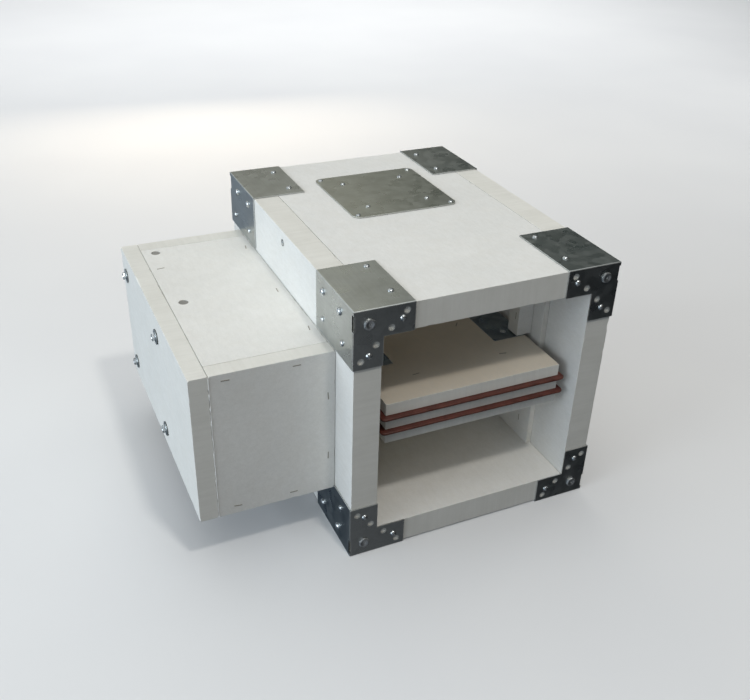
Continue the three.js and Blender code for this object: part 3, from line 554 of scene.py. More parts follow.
def worn_box(low, high, rounding=BOARD_ROUNDING, wear=1.0):
    """A box whose twelve edges are rounded and nibbled. Its six faces stay flat."""
    bm = bmesh.new()
    low, high = Vector(low), Vector(high)
    rows = {}
    inset = rounding * 2.2 + CHIP_LIMIT * wear

    for along in range(3):
        first, second = [axis for axis in range(3) if axis != along]
        start, end = low[along] + inset, high[along] - inset
        count = max(2, round((end - start) / CHIP_PITCH))
        for sides in product((0, 1), repeat=2):
            key = [None, None, None]
            key[first], key[second] = sides
            row = {first: [], second: [], "middle": []}
            for index in range(count + 1):
                corner = Vector((0, 0, 0))
                corner[along] = start + (end - start) * index / count
                corner[first] = (low, high)[sides[0]][first]
                corner[second] = (low, high)[sides[1]][second]
                chip = chip_depth(corner) * wear
                if index in (0, count):
                    chip = 0.25 * MM * wear
                reach = rounding + chip
                depth = reach * (0.29 + 0.21 * min(1.0, chip / MM))
                inward_first = 1 - 2 * sides[0]
                inward_second = 1 - 2 * sides[1]
                on_first, on_second, middle = corner.copy(), corner.copy(), corner.copy()
                on_first[second] += inward_second * reach
                on_second[first] += inward_first * reach
                middle[first] += inward_first * depth
                middle[second] += inward_second * depth
                row[first].append(bm.verts.new(on_first))
                row[second].append(bm.verts.new(on_second))
                row["middle"].append(bm.verts.new(middle))
            rows[tuple(key)] = row
            for edge_row in (row[first], row[second]):
                for i in range(count):
                    middle_pair = (row["middle"][i + 1], row["middle"][i])
                    bm.faces.new((edge_row[i], edge_row[i + 1], *middle_pair))

    for axis, side in product(range(3), (0, 1)):
        p, q = [other for other in range(3) if other != axis]
        loop = []
        for across, end, step in ((q, 0, 1), (p, 1, 1), (q, 1, -1), (p, 0, -1)):
            key = [None, None, None]
            key[axis], key[across] = side, end
            loop += rows[tuple(key)][axis][::step]
        bm.faces.new(loop)

    for sides in product((0, 1), repeat=3):
        ring = []
        for along, before, after in ((0, 2, 1), (2, 1, 0), (1, 0, 2)):
            key = list(sides)
            key[along] = None
            row = rows[tuple(key)]
            last = -1 if sides[along] else 0
            ring += [row[before][last], row["middle"][last], row[after][last]]
        centre = sum((vertex.co for vertex in ring), Vector()) / len(ring)
        tip = bm.verts.new(centre)
        for i, vertex in enumerate(ring):
            bm.faces.new((vertex, ring[(i + 1) % len(ring)], tip))

    bmesh.ops.recalc_face_normals(bm, faces=bm.faces)
    return bm


def make_board(node, body, face, thickness_axis, wear=1.0, cuts=()):
    """A board with worn edges and every cut-out of its CAD solid. Sawn edges get their own finish."""
    low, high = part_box(node)
    inside = Vector((SHRINK, SHRINK, SHRINK))
    bm = boolean(worn_box(low + inside, high - inside, wear=wear), cad_copy(node), "INTERSECT")
    for cut in cuts:
        bm = boolean(bm, cut, "DIFFERENCE")
    for polygon in bm.faces:
        polygon.material_index = 0 if abs(polygon.normal[thickness_axis]) > 0.8 else 1
    new_piece(f"{node}_worn", bm, [FACE[face], CUT_EDGE[thickness_axis]], body, [node])


# ---------- places on the casing ----------


def casing_point(x, y, z):
    """A place in millimetres from the casing's front lower left corner."""
    return CASING_LOW + Vector((x, y, z)) * MM


class Corner:
    """One of the casing's eight corners. Distances run inwards from the casing's outer corner."""

    def __init__(self, end, height, side):
        self.name = f"{end}_{height}_{side}"
        self.at_front = end == "front"
        self.at_top = height == "top"
        self.signs = Vector((
            -1 if side == "left" else 1,
            -1 if self.at_front else 1,
            1 if self.at_top else -1,
        ))

    def point(self, x, y, z):
        insets = Vector((x, y, z)) * MM
        corner = Vector([
            (CASING_LOW, CASING_HIGH)[self.signs[axis] > 0][axis] for axis in range(3)
        ])
        return Vector([corner[axis] - self.signs[axis] * insets[axis] for axis in range(3)])

    def outward(self, axis):
        return AXES[axis] * self.signs[axis]


CORNERS = [
    Corner(end, height, side)
    for end, height, side in product(("front", "rear"), ("top", "bottom"), ("left", "right"))
]

# ---------- small parts, made once and set in place many times ----------


def turns(sides):
    return [2 * math.pi * i / sides for i in range(sides)]


def skin(bm, rings):
    """Joins a row of equal rings into a tube, and closes its two ends."""
    sides = len(rings[0])
    for below, above in zip(rings, rings[1:]):
        for i in range(sides):
            j = (i + 1) % sides
            bm.faces.new((below[i], below[j], above[j], above[i]))
    bm.faces.new(rings[0])
    bm.faces.new(rings[-1])


def lathe(profile, sides=32):
    """Turns a profile of (radius, height) points, from the axis back to the axis, about Z."""
    bm = bmesh.new()
    rings = []
    for radius, height in profile:
        if radius == 0:
            rings.append([bm.verts.new((0, 0, height))])
            continue
        rings.append([
            bm.verts.new((radius * math.cos(turn), radius * math.sin(turn), height))
            for turn in turns(sides)
        ])
    for below, above in zip(rings, rings[1:]):
        for i in range(sides):
            j = (i + 1) % sides
            if len(below) == 1:
                bm.faces.new((below[0], above[j], above[i]))
            elif len(above) == 1:
                bm.faces.new((below[i], below[j], above[0]))
            else:
                bm.faces.new((below[i], below[j], above[j], above[i]))
    bmesh.ops.recalc_face_normals(bm, faces=bm.faces)
    return bm


def block(low, high, rounding=0.0):
    """A box between two corners, with rounded edges where rounding is given."""
    bm = bmesh.new()
    bmesh.ops.create_cube(bm, size=1)
    low, high = Vector(low), Vector(high)
    size = high - low
    middle = (low + high) / 2
    for vertex in bm.verts:
        vertex.co = middle + Vector([vertex.co[axis] * size[axis] for axis in range(3)])
    if rounding > 0:
        bmesh.ops.bevel(
            bm, geom=bm.edges[:], offset=rounding, segments=2, profile=0.5, affect="EDGES",
        )
    return bm


def merged(*parts):
    """Puts several closed bodies into one bmesh."""
    whole = bmesh.new()
    for part in parts:
        mesh = bpy.data.meshes.new("part")
        part.to_mesh(mesh)
        whole.from_mesh(mesh)
        bpy.data.meshes.remove(mesh)
        part.free()
    return whole


def cross_recess(radius, top, depth):
    """A cross-head screwdriver recess: two slots that cross and narrow downwards."""
    slots = []
    for turn in (0, math.pi / 2):
        half_length, half_width = radius * 0.56, radius * 0.15
        slot = block((-half_length, -half_width, top - depth), (half_length, half_width, top + radius))
        for vertex in slot.verts:
            if vertex.co.z < top:
                vertex.co.x *= 0.42
                vertex.co.y *= 0.7
        bmesh.ops.rotate(slot, verts=slot.verts, matrix=Matrix.Rotation(turn, 3, "Z"))
        slots.append(slot)
    return boolean(slots[0], slots[1], "UNION")


def screw_head(radius, height):
    """A domed head on a thin collar, with a cross recess, standing on Z = 0."""
    profile = [(0, -0.2 * MM), (radius * 0.55, -0.2 * MM), (radius * 0.97, 0), (radius, height * 0.16)]
    for step in range(1, 7):
        angle = step / 6 * math.pi / 2
        reach = radius * (0.93 * math.cos(angle) ** 0.8)
        profile.append((max(0.0, reach) if step < 6 else 0, height * (0.2 + 0.8 * math.sin(angle))))
    return boolean(lathe(profile), cross_recess(radius, height, height * 0.55), "DIFFERENCE")


def hex_head(flats, height, recess):
    """A hexagon head with its upper corners turned off, a dished top and a cross recess."""
    inner = flats / 2
    outer = flats / math.sqrt(3)
    chamfer = min(height * 0.4, 0.9 * MM)
    dish = min(height * 0.3, 0.6 * MM)
    prism = lathe([(0, 0), (outer, 0), (outer, height), (0, height)], sides=6)
    turned = lathe([
        (0, -0.5 * MM), (outer * 1.02, -0.5 * MM), (outer * 1.02, height - chamfer),
        (inner * 0.94, height * 0.999), (inner * 0.74, height * 0.999),
        (inner * 0.62, height - dish), (0, height - dish * 1.2),
    ], sides=48)
    head = boolean(prism, turned, "INTERSECT")
    slots = cross_recess(inner * recess, height - dish, height * 0.6)
    return boolean(head, slots, "DIFFERENCE")


def washer(hole, radius, thickness):
    rim = thickness * 0.35
    ring = lathe([
        (hole, 0), (radius - rim, 0), (radius, rim), (radius, thickness - rim),
        (radius - rim, thickness), (hole, thickness), (hole, 0),
    ], sides=40)
    bmesh.ops.remove_doubles(ring, verts=ring.verts, dist=0.001 * MM)
    return ring


def staple_crown():
    """The part of a wire staple that shows: a flat rounded bar, half sunk in the board."""
    return block((-5.5 * MM, -0.65 * MM, -0.5 * MM), (5.5 * MM, 0.65 * MM, 0.3 * MM), 0.28 * MM)


def stored(bm):
    mesh = bpy.data.meshes.new("stored")
    bm.to_mesh(mesh)
    bm.free()
    return mesh


def set_in_place(mesh, place, outward, spin=0.0, along=None):
    """A copy of a small part, its Z turned outwards, and its X along a direction if one is given."""
    if along is not None:
        side = outward.cross(along)
        turn = Matrix((along, side, outward)).transposed()
    else:
        turn = outward.to_track_quat("Z", "Y").to_matrix() @ Matrix.Rotation(spin, 3, "Z")
    copy = bmesh.new()
    copy.from_mesh(mesh)
    bmesh.ops.transform(copy, verts=copy.verts, matrix=Matrix.Translation(place) @ turn.to_4x4())
    return copy


SMALL_SCREW = stored(screw_head(4.3 * MM, 2.5 * MM))
LARGE_SCREW = stored(screw_head(5.6 * MM, 3.3 * MM))
PLATE_SCREW = stored(screw_head(3.8 * MM, 2.2 * MM))
STAPLE = stored(staple_crown())
spins = random.Random(11)


def screw_group(name, body, places):
    """Screws set in place as one piece: each place is (mesh, point, outward direction)."""
    heads = [
        set_in_place(mesh, point, outward, spins.uniform(0, math.pi / 2))
        for mesh, point, outward in places
    ]
    return new_piece(name, merged(*heads), [FASTENER_ZINC], body, smooth_angle=38)


def staple_group(name, body, places):
    """Staples set in place as one piece: each place is (point, outward, direction of the crown)."""
    crowns = [set_in_place(STAPLE, point, outward, along=along) for point, outward, along in places]
    return new_piece(name, merged(*crowns), [STAPLE_WIRE], body, smooth_angle=38)


# ---------- boards ----------


def make_boards():
    for side in ("left", "right"):
        voids = [corner_void(corner) for corner in CORNERS if corner.name.endswith(side)]
        make_board(f"casing_{side}_board", "casing", "casing", 0, cuts=voids)
    for name in ("top", "bottom"):
        make_board(f"casing_{name}_board", "casing", "casing", 2)
    make_board("inspection_plug", "hatch", "casing", 2)
    for name, axis in (("front", 1), ("rear", 1), ("top", 2), ("bottom", 2)):
        make_board(f"enclosure_{name}_board", "casing", "enclosure", axis)
    make_board("enclosure_cover", "cover", "enclosure", 0)
    for side in ("left", "right"):
        make_board(f"{side}_cheek", "casing", "casing", 0, wear=0.5)
    for level, place in product(("upper", "lower"), ("left", "right", "cross")):
        make_board(f"{level}_{place}_stop", "casing", "casing", 1, wear=0.7)
    for layer in ("upper", "middle", "lower"):
        make_board(f"blade_{layer}_layer", "blade", "blade", 2, wear=0.6)


# ---------- corner brackets, their bolts and screws ----------

BEND_RADIUS = 1.35 * MM
END_HOLE_RADIUS = 4.25 * MM
END_HOLE_INSETS = ((8.5, 68.5), (28.5, 48.5), (48.5, 28.5), (68.5, 8.5))
BOLT_INSETS = (19, 18)
HOLE_RIM_CUTS = 3
BOLT_WASHER_THICKNESS = 0.5 * MM
BOLT_HEAD_HEIGHT = 1.7 * MM
BOLT_FIT = 0.3                      # clear space under a bolt's washer, in millimetres
BOLT_RADIUS = 4 * MM
BOLT_FLATS = 13 * MM
BOLT_WASHER_RADIUS = 7.6 * MM
SLOT_TOP = 4                        # the open slot at a bracket's corner, as insets in millimetres
SLOT_BOTTOM = 26
SLOT_SIDE = 3.2
VOID_DEPTH = 7


def corner_box(corner, start, end):
    """A box between two points that are given as insets from a corner."""
    first, second = corner.point(*start), corner.point(*end)
    low = Vector([min(pair) for pair in zip(first, second)])
    high = Vector([max(pair) for pair in zip(first, second)])
    return block(low, high)


def corner_slot(corner):
    """The slot where a bracket's end flange and side flange don't quite meet."""
    return corner_box(corner, (-4, -4, SLOT_TOP), (-0.05, SLOT_SIDE, SLOT_BOTTOM))


def corner_void(corner):
    """The broken board edge behind that slot."""
    return corner_box(corner, (-2, -2, SLOT_TOP - 1), (VOID_DEPTH, VOID_DEPTH, SLOT_BOTTOM + 1))


def is_bend(edge, corner):
    """True for the fold between a bracket's top flange and its side or end flange."""
    outer = corner.point(FLANGE_INSET, FLANGE_INSET, FLANGE_INSET)
    ends = [vertex.co for vertex in edge.verts]
    on_outer = [all(abs(end[axis] - outer[axis]) < 0.01 * MM for end in ends) for axis in range(3)]
    return on_outer[2] and (on_outer[0] or on_outer[1]) and edge.calc_length() > 20 * MM


def flange_finish(face, corner):
    """0 for plain sheet, 1 for the folded stretch with its painted highlight, and 2 for the walls of the
    slot, painted near-black as shade.
    """
    centre = face.calc_center_median()
    outer = corner.point(FLANGE_INSET, FLANGE_INSET, FLANGE_INSET)
    gap = [abs(centre[axis] - outer[axis]) / MM for axis in range(3)]
    slanted = max(abs(part) for part in face.normal) < 0.99
    if slanted and gap[2] < BEND_RADIUS / MM and min(gap[0], gap[1]) < BEND_RADIUS / MM:
        return 1
    in_height = SLOT_TOP - 0.1 < gap[2] + FLANGE_INSET < SLOT_BOTTOM + 0.1
    in_slot = in_height and gap[0] < 1.9 and gap[1] < SLOT_SIDE - FLANGE_INSET + 0.1
    outside = min(gap[0], gap[1]) < 0.15
    return 2 if in_slot and not outside else 0


def round_holes(bm, centres, radius, axis):
    """Adds points to the rims of many-sided holes, and moves them out to the true circle."""
    p, q = [other for other in range(3) if other != axis]

    def distance(co, centre):
        return math.hypot(co[p] - centre[p], co[q] - centre[q])

    for centre in centres:
        rim = [
            edge for edge in bm.edges
            if all(abs(distance(v.co, centre) - radius) < 0.01 * MM for v in edge.verts)
            and abs(edge.verts[0].co[axis] - edge.verts[1].co[axis]) < 0.01 * MM
        ]
        made = bmesh.ops.subdivide_edges(bm, edges=rim, cuts=HOLE_RIM_CUTS)
        for vertex in {item for item in made["geom_inner"] if isinstance(item, bmesh.types.BMVert)}:
            gap = distance(vertex.co, centre)
            if radius * 0.9 < gap < radius * 1.05:
                for k in (p, q):
                    vertex.co[k] = centre[k] + (vertex.co[k] - centre[k]) * radius / gap


def make_bracket(corner):
    node = f"bracket_{corner.name}"
    bm = cad_copy(node)
    bends = [edge for edge in bm.edges if is_bend(edge, corner)]
    bmesh.ops.bevel(bm, geom=bends, offset=BEND_RADIUS, segments=5, profile=0.5, affect="EDGES")
    centres = [corner.point(x, 0, z) for x, z in END_HOLE_INSETS]
    round_holes(bm, centres, END_HOLE_RADIUS, 1)
    bm = boolean(bm, corner_slot(corner), "DIFFERENCE")
    bmesh.ops.remove_doubles(bm, verts=bm.verts, dist=0.02 * MM)
    bmesh.ops.bevel(
        bm, geom=sharp_edges(bm, 60), offset=0.14 * MM, segments=1, affect="EDGES", clamp_overlap=True,
    )
    bmesh.ops.triangulate(bm, faces=[face for face in bm.faces if len(face.verts) > 4])
    for face in bm.faces:
        face.material_index = flange_finish(face, corner)
    finishes = [BRACKET_ZINC, BEND_HIGHLIGHT_ZINC, SLOT_SHADE_STEEL]
    new_piece(f"{node}_sheet", bm, finishes, "casing", [node], smooth_angle=35)


def bracket_screw_places(corner):
    """The screws of one bracket. None stands under the casing, where it rests."""
    flange = FLANGE_INSET
    if corner.at_front:
        top_ys, large_ys, small_ys, small_z = (34, 107), (41.5, 97), (32.5, 97.3), 58.5
    else:
        top_ys, large_ys, small_ys, small_z = (24.5, 97.5), (37, 91), (21.5, 92.3), 62
    places = [
        (SMALL_SCREW, corner.point(x, flange, z), corner.outward(1))
        for x, z in ((63.8, 18.5), (19.5, 62.5))
    ]
    places += [(LARGE_SCREW, corner.point(flange, y, 18.5), corner.outward(0)) for y in large_ys]
    places += [(SMALL_SCREW, corner.point(flange, y, small_z), corner.outward(0)) for y in small_ys]
    if corner.at_top:
        places += [(SMALL_SCREW, corner.point(62.5, y, flange), corner.outward(2)) for y in top_ys]
    return places


def make_bolt(corner):
    """A low hexagon-headed bolt with its washer, in place of the plain one."""
    node = f"bolt_{corner.name}"
    low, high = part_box(node)
    washer_face = corner.point(BOLT_INSETS[0], FLANGE_INSET - BOLT_FIT, BOLT_INSETS[1])
    shank_length = high.y - low.y - BOLT_WASHER_THICKNESS - BOLT_HEAD_HEIGHT
    shank = lathe([
        (0, -shank_length), (BOLT_RADIUS * 0.8, -shank_length), (BOLT_RADIUS, -shank_length + 1 * MM),
        (BOLT_RADIUS, 0.2 * MM), (0, 0.2 * MM),
    ])
    head = hex_head(BOLT_FLATS, BOLT_HEAD_HEIGHT, 0.8)
    bmesh.ops.translate(head, verts=head.verts, vec=(0, 0, BOLT_WASHER_THICKNESS))
    whole = merged(shank, washer(3.9 * MM, BOLT_WASHER_RADIUS, BOLT_WASHER_THICKNESS), head)
    spin = spins.uniform(0, math.pi / 3)
    placed = set_in_place(stored(whole), washer_face, corner.outward(1), spin)
    new_piece(f"{node}_hex", placed, [BOLT_ZINC], "casing", [node], 38)


def make_brackets():
    for corner in CORNERS:
        make_bracket(corner)
        make_bolt(corner)
        screw_group(f"bracket_{corner.name}_screws", "casing", bracket_screw_places(corner))


# ---------- inspection plate ----------

PLATE_SCREW_INSET = 8.5 * MM
INNER_SCREW_HALF_SPACING = 48.5 * MM


def make_inspection_plate():
    dressed(
        "inspection_plate", "sheet", PLATE_ZINC, "hatch", "galvanised_sheet", 0.22 * MM,
        smooth_angle=30, angle=60,
    )
    low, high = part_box("inspection_plate")
    centre = (low + high) / 2
    half_x = (high.x - low.x) / 2 - PLATE_SCREW_INSET
    half_y = (high.y - low.y) / 2 - PLATE_SCREW_INSET
    places = []
    for reach_x, reach_y in ((half_x, half_y), (INNER_SCREW_HALF_SPACING, INNER_SCREW_HALF_SPACING)):
        for side_x, side_y in product((-1, 1), repeat=2):
            point = Vector((centre.x + side_x * reach_x, centre.y + side_y * reach_y, high.z))
            places.append((PLATE_SCREW, point, UP))
    screw_group("inspection_plate_screws", "hatch", places)


# ---------- blade ----------

SEAL_PROUD = 8.2 * MM
SEAL_TONGUE = 9.5 * MM
SEAL_HALF_THICKNESS = 2.2 * MM
SEAL_OUTER_CORNER = 7 * MM
SEAL_PITCH = 7 * MM


def seal_profile():
    """The strip's section, as (distance out of the blade's edge, height) points."""
    half = SEAL_HALF_THICKNESS
    groove_place = SEAL_PROUD * 0.42
    upper = [(-SEAL_TONGUE, half * 0.8), (0.2 * MM, half * 0.8), (0.9 * MM, half)]
    for aside, depth in ((-0.5 * MM, 0), (0, 0.35 * MM), (0.5 * MM, 0)):
        upper.append((groove_place + aside, half - depth))
    tip = []
    for step in range(9):
        angle = math.pi / 2 - step * math.pi / 8
        tip.append((SEAL_PROUD - half + half * math.cos(angle), half * math.sin(angle)))
    return upper + tip + [(reach, -height) for reach, height in reversed(upper)]


def seal_stations(low, high):
    """Places round the blade's edge, each as (point, outward x, outward y, side x, side y).

    The sides say which corner it turns round, and are 0 on a straight run.
    """
    stations = []
    corners = [
        (high.x, low.y, 1, -1), (high.x, high.y, 1, 1),
        (low.x, high.y, -1, 1), (low.x, low.y, -1, -1),
    ]
    for index, (x, y, side_x, side_y) in enumerate(corners):
        start = math.atan2(side_y, side_x) - math.pi / 4
        for step in range(8):
            angle = start + step * math.pi / 14
            stations.append((Vector((x, y, 0)), math.cos(angle), math.sin(angle), side_x, side_y))
        next_x, next_y = corners[(index + 1) % 4][:2]
        run = Vector((next_x - x, next_y - y, 0))
        count = round(run.length / SEAL_PITCH)
        out_x, out_y = round(math.cos(angle)), round(math.sin(angle))
        for step in range(1, count):
            stations.append((Vector((x, y, 0)) + run * step / count, out_x, out_y, 0, 0))
    return stations


def make_seal(level):
    """A soft lipped strip all round the blade, never perfectly straight."""
    node = f"blade_{level}_seal"
    seal_low, seal_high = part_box(node)
    proud = Vector((SEAL_PROUD, SEAL_PROUD, 0))
    blade_low, blade_high = seal_low + proud, seal_high - proud
    height = (seal_low.z + seal_high.z) / 2
    profile = seal_profile()
    bm = bmesh.new()
    loops = []
    for base, out_x, out_y, side_x, side_y in seal_stations(blade_low, blade_high):
        waver = noise.noise(Vector((base.x, base.y, height)) * 34) * 0.35 * MM
        slack = abs(noise.noise(Vector((base.y, base.x, height)) * 55)) * 0.7 * MM
        loop = []
        for reach, up in profile:
            share = max(0.0, reach / SEAL_PROUD)
            reach -= slack * share
            corner_radius = max(0.0, reach - (SEAL_PROUD - SEAL_OUTER_CORNER)) if side_x else reach
            shift = reach - corner_radius
            point = base + Vector((
                side_x * shift + out_x * corner_radius,
                side_y * shift + out_y * corner_radius, 0,
            ))
            point.z = height + up * (1 - 0.06 * share) + waver * share
            loop.append(bm.verts.new(point))
        loops.append(loop)
    for i, loop in enumerate(loops):
        following = loops[(i + 1) % len(loops)]
        for j in range(len(profile)):
            k = (j + 1) % len(profile)
            bm.faces.new((loop[j], loop[k], following[k], following[j]))
    bmesh.ops.remove_doubles(bm, verts=bm.verts, dist=0.002 * MM)
    new_piece(f"{node}_strip", bm, [SEAL_RUBBER], "blade", [node], smooth_angle=50)


PIVOT_SCREW_OFFSETS = (-35, 35)
BLADE_STAPLES = (                   # x, y, and the crown's slant
    (125.4, 73.2, 0.15), (244, 174.5, 0.9), (265.2, 76.2, -0.2), (140, 250, 0.4), (250, 262, 0.1),
)


def make_blade_fittings():
    screws = []
    for side in ("left", "right"):
        node = f"pivot_bracket_{side}"
        dressed(node, "plate", PIVOT_SHADED_ZINC, "blade", "galvanised_sheet", 0.25 * MM, 35)
        low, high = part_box(node)
        for offset in PIVOT_SCREW_OFFSETS:
            point = Vector(((low.x + high.x) / 2, AXIS_PLACE.y + offset * MM, high.z))
            screws.append((SMALL_SCREW, point, UP))
    screw_group("pivot_bracket_screws", "blade", screws)
    for end in ("drive", "idle"):
        dressed(f"{end}_shaft", "turned", SHAFT_STEEL, "blade", "shaft_steel", 0.6 * MM)
    for end in ("drive", "idle"):
        dressed(f"{end}_bush", "turned", BUSH_BRONZE, "casing", "bush_bronze", 0.4 * MM)
    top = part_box("blade_upper_layer")[1].z
    staple_group("blade_staples", "blade", flat_crowns(BLADE_STAPLES, top))


def flat_crowns(staples, height):
    """Staples on a level face, from their (x, y, slant) on the casing."""
    crowns = []
    for x, y, slant in staples:
        place = casing_point(x, y, 0)
        place.z = height
        crowns.append((place, UP, Matrix.Rotation(slant, 3, "Z") @ AXES[0]))
    return crowns


STOP_STAPLES = (
    ("upper_right_stop", 116, 255), ("upper_right_stop", 121, 300),
    ("right_cheek", 111.5, 71), ("right_cheek", 190, 320),
)


def make_stop_staples():
    """Staples driven deep into the right-hand upper stop and the right cheek."""
    crowns = []
    for node, y, z in STOP_STAPLES:
        place = casing_point(0, y, z)
        place.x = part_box(node)[0].x + 0.1 * MM
        crowns.append((place, -AXES[0], AXES[2]))
    staple_group("stop_staples", "casing", crowns)


# ---------- actuator enclosure ----------

TOP_STAPLES = ((-150, 369, 0.1), (-12, 397, 1.4), (-14, 242, 1.5), (-10.5, 124, 1.4))
FRONT_STAPLES = (
    (-144, 287, 0.05), (-52, 287, 0.0), (-10, 231, 1.5),
    (-10, 135, 1.6), (-60, 87.6, 0.0), (-138, 89, 0.1),
)
FILLER_RADIUS = 0.68 * MM
FILLER_PITCH = 2 * MM
FILLER_SIDES = 10


def make_enclosure_staples():
    enclosure_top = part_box("enclosure_top_board")[1].z
    front_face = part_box("enclosure_front_board")[0].y
    rear_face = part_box("enclosure_rear_board")[1].y
    crowns = flat_crowns(TOP_STAPLES, enclosure_top)
    for face, outward in ((front_face, -AXES[1]), (rear_face, AXES[1])):
        for x, z, slant in FRONT_STAPLES:
            place = casing_point(x, 0, z)
            place.y = face
            crowns.append((place, outward, Matrix.Rotation(slant, 3, "Y") @ AXES[0]))
    staple_group("enclosure_staples", "casing", crowns)


def filler_bead(x, y, low, high):
    """An upright bead of filler, here thick and there thin, closed at both ends."""
    bm = bmesh.new()
    rings = []
    count = round((high - low) / FILLER_PITCH)
    for index in range(count + 1):
        z = low + (high - low) * index / count
        swell = 0.9 + 0.8 * noise.noise(Vector((x, y, z)) * 190)
        shift = 0.25 * MM * noise.noise(Vector((y, x, z)) * 60)
        rings.append([
            bm.verts.new((
                x + shift + FILLER_RADIUS * swell * math.cos(turn),
                y + FILLER_RADIUS * swell * math.sin(turn), z,
            ))
            for turn in turns(FILLER_SIDES)
        ])
    skin(bm, rings)
    return bm


def make_joint_filler():
    """The line of filler in the joint between the cover's edge and the front and rear boards."""
    cover_low, cover_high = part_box("enclosure_cover")
    joint = cover_high.x + FILLER_RADIUS * 0.8
    beads = [
        filler_bead(joint, face, cover_low.z + 1.5 * MM, cover_high.z - 1.5 * MM)
        for face in (cover_low.y, cover_high.y)
    ]
    new_piece(
        "enclosure_joint_filler", merged(*beads), [FILLER_PASTE], "casing",
        smooth_angle=60,
    )


def make_cover_screws():
    """Long hexagon-headed screws on wide washers, which hold the cover through the whole box."""
    cover_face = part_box("enclosure_cover")[0].x
    for end, height in product(("front", "rear"), ("lower", "upper")):
        node = f"cover_screw_{end}_{height}"
        low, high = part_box(node)
        centre = (low + high) / 2
        place = Vector((cover_face - 0.3 * MM, centre.y, centre.z))
        reach = high.x - place.x
        shank = lathe([
            (0, -reach), (1.2 * MM, -reach + 1 * MM), (2.4 * MM, -reach + 6 * MM),
            (2.4 * MM, -reach + 40 * MM), (2.9 * MM, -reach + 41 * MM), (2.9 * MM, 0.2 * MM), (0, 0.2 * MM),
        ], sides=24)
        head = hex_head(10 * MM, 3.6 * MM, 0.72)
        bmesh.ops.translate(head, verts=head.verts, vec=(0, 0, 2.35 * MM))
        collar = lathe([
            (0, 1.4 * MM), (6.6 * MM, 1.4 * MM), (6.8 * MM, 1.7 * MM), (5.9 * MM, 2.4 * MM), (0, 2.4 * MM),
        ], sides=40)
        whole = merged(shank, washer(2.8 * MM, 11 * MM, 1.5 * MM), collar, head)
        for polygon in whole.faces:
            middle = polygon.calc_center_median()
            wide = math.hypot(middle.x, middle.y) > 6.9 * MM
            polygon.material_index = 1 if wide or -0.1 * MM < middle.z < 1.39 * MM else 0
        placed = set_in_place(stored(whole), place, LEFTWARD, spins.uniform(0, math.pi / 3))
        new_piece(
            f"{node}_hex", placed, [FASTENER_ZINC, WASHER_ZINC], "cover", [node], 38,
        )


def make_cable_plugs():
    for end in ("front", "rear"):
        dressed(
            f"cable_plug_{end}", "moulded", PLUG_RUBBER, "casing", "black_rubber", 0.5 * MM, 35, angle=60,
        )


BOARD_SCREW_PLACE = (0, 254, 362.5)
BOARD_SCREW_SUNK = 1.7 * MM


def make_board_screw():
    """The single sunk screw in the left board, above the enclosure."""
    place = casing_point(*BOARD_SCREW_PLACE)
    sunk = place + AXES[0] * BOARD_SCREW_SUNK
    screw_group("left_board_screw", "casing", [(SMALL_SCREW, sunk, LEFTWARD)])
    ring = set_in_place(stored(washer(3.6 * MM, 5.2 * MM, 0.25 * MM)), place, LEFTWARD)
    new_piece("left_board_screw_ring", ring, [WASHER_ZINC], "casing", smooth_angle=38)


# ---------- actuator and its wiring ----------

DIAL_RADIUS = 41 * MM
DIAL_TICKS = 7
HOUSING_RIBS = 8
RIB_PITCH = 9
FIRST_RIB = 118
LEAD_RADIUS = 3.5 * MM
LEAD_SIDES = 20
LEAD_STEPS = 24


def face_screws(name, mesh, node, inset):
    """A screw in each corner of a node's left face."""
    low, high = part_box(node)
    screw_group(name, "casing", [
        (mesh, Vector((low.x, y, z)), -AXES[0])
        for y, z in product((low.y + inset, high.y - inset), (low.z + inset, high.z - inset))
    ])


def make_actuator():
    low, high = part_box("actuator_housing")
    details = [rounded_copy("actuator_housing", 0.3 * MM, angle=50)]
    for index in range(HOUSING_RIBS):
        y = low.y + (FIRST_RIB + index * RIB_PITCH) * MM
        start = (low.x - 1.6 * MM, y, low.z + 16 * MM)
        end = (low.x + 1 * MM, y + 4 * MM, high.z - 16 * MM)
        details.append(block(start, end, 0.7 * MM))
    for index in range(DIAL_TICKS):
        angle = index / (DIAL_TICKS - 1) * math.pi / 2
        tick = block((-5 * MM, -0.6 * MM, -0.4 * MM), (5 * MM, 0.6 * MM, 0.7 * MM), 0.25 * MM)
        direction = Vector((0, -math.cos(angle), -math.sin(angle)))
        place = Vector((low.x, AXIS_PLACE.y, AXIS_PLACE.z)) + direction * DIAL_RADIUS
        details.append(set_in_place(stored(tick), place, -AXES[0], along=direction))
    new_piece(
        "actuator_housing_moulded", merged(*details), [CASE_PLASTIC], "casing",
        ["actuator_housing"], 38,
    )
    face_screws("actuator_housing_screws", LARGE_SCREW, "actuator_housing", 11 * MM)
    dressed(
        "manual_release_button", "cap", RED_PLASTIC, "release_button", "red_plastic", 1.1 * MM,
        segments=4, angle=60,
    )
    dressed("actuator_hub", "turned", SHAFT_STEEL, "blade", "shaft_steel", 0.7 * MM)
    dressed("position_indicator", "disc", RED_PLASTIC, "blade", "red_plastic", 0.5 * MM, angle=60)
    dressed(
        "actuator_mount", "plate", PLATE_ZINC, "casing", "galvanised_sheet", 0.25 * MM, angle=60,
    )
    make_shaft_clamp()


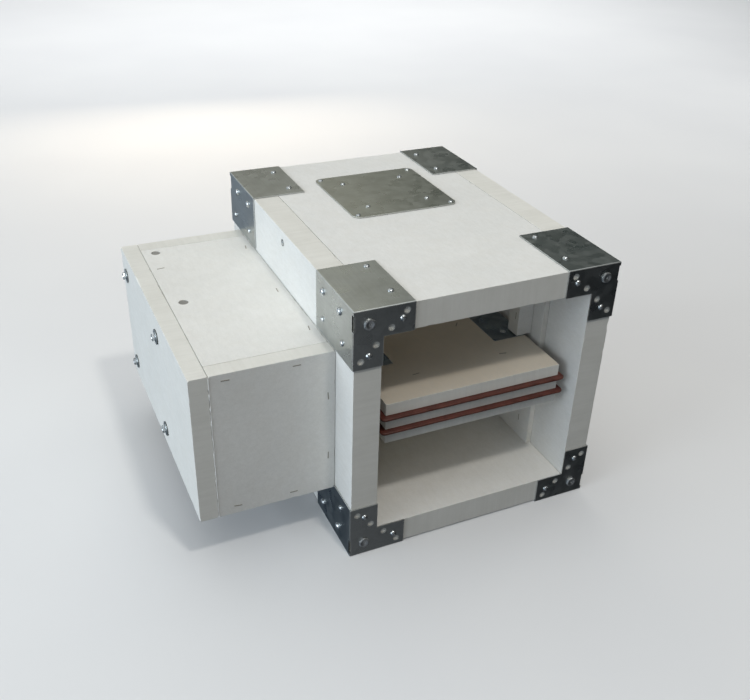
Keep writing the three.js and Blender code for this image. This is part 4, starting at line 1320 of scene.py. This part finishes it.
def make_shaft_clamp():
    """The clamp block with the two nuts that draw it onto the shaft."""
    clamp = rounded_copy("shaft_clamp", 0.9 * MM, segments=3, angle=60)
    low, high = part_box("shaft_clamp")
    nuts = []
    for y in (low.y + 7 * MM, high.y - 7 * MM):
        place = Vector((low.x - 0.1 * MM, y, AXIS_PLACE.z))
        nut = stored(hex_head(10 * MM, 5 * MM, 0.6))
        nuts.append(set_in_place(nut, place, -AXES[0], spins.uniform(0, 1)))
    new_piece(
        "shaft_clamp_block", merged(clamp, *nuts), [FASTENER_ZINC], "blade",
        ["shaft_clamp"], 38,
    )


def make_terminal_box():
    case = rounded_copy("terminal_box", 1.2 * MM, segments=3, angle=60)
    gland = lathe([
        (0, 0), (7 * MM, 0), (7.4 * MM, 0.6 * MM), (7.4 * MM, 5 * MM), (6 * MM, 6.5 * MM), (0, 6.5 * MM),
    ])
    low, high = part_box("actuator_lead")
    lead_end = Vector((high.x - LEAD_RADIUS, high.y + 0.4 * MM, high.z - LEAD_RADIUS))
    gland = set_in_place(stored(gland), lead_end, -AXES[1])
    new_piece(
        "terminal_box_case", merged(case, gland), [TERMINAL_PLASTIC], "casing",
        ["terminal_box"], 38,
    )
    face_screws("terminal_box_screws", PLATE_SCREW, "terminal_box", 7 * MM)
    make_lead(Vector((low.x + LEAD_RADIUS, low.y, low.z + LEAD_RADIUS)), lead_end)


def make_lead(start, end):
    """The short lead from the actuator to the terminal box, straight out of each and bent between."""
    bm = bmesh.new()
    rings = []
    pull = Vector((0, (end.y - start.y) * 0.45, 0))
    points = [start, start + pull, end - pull, end]
    for index in range(LEAD_STEPS + 1):
        t = index / LEAD_STEPS
        weights = ((1 - t) ** 3, 3 * t * (1 - t) ** 2, 3 * t * t * (1 - t), t ** 3)
        centre = sum((point * weight for point, weight in zip(points, weights)), Vector())
        slopes = (-3 * (1 - t) ** 2, 3 * (1 - t) * (1 - 3 * t), 3 * t * (2 - 3 * t), 3 * t * t)
        along = sum((point * slope for point, slope in zip(points, slopes)), Vector()).normalized()
        side = along.cross(UP).normalized()
        rise = side.cross(along)
        rings.append([
            bm.verts.new(centre + (side * math.cos(turn) + rise * math.sin(turn)) * LEAD_RADIUS)
            for turn in turns(LEAD_SIDES)
        ])
    skin(bm, rings)
    new_piece(
        "actuator_lead_sheath", bm, [BLACK_RUBBER], "casing", ["actuator_lead"], 50,
    )


# ---------- the whole object ----------

make_camera()
make_lights()
make_world()
make_floor()
make_boards()
make_brackets()
make_inspection_plate()
make_seal("upper")
make_seal("lower")
make_blade_fittings()
make_stop_staples()
make_enclosure_staples()
make_joint_filler()
make_cover_screws()
make_cable_plugs()
make_board_screw()
make_actuator()
make_terminal_box()
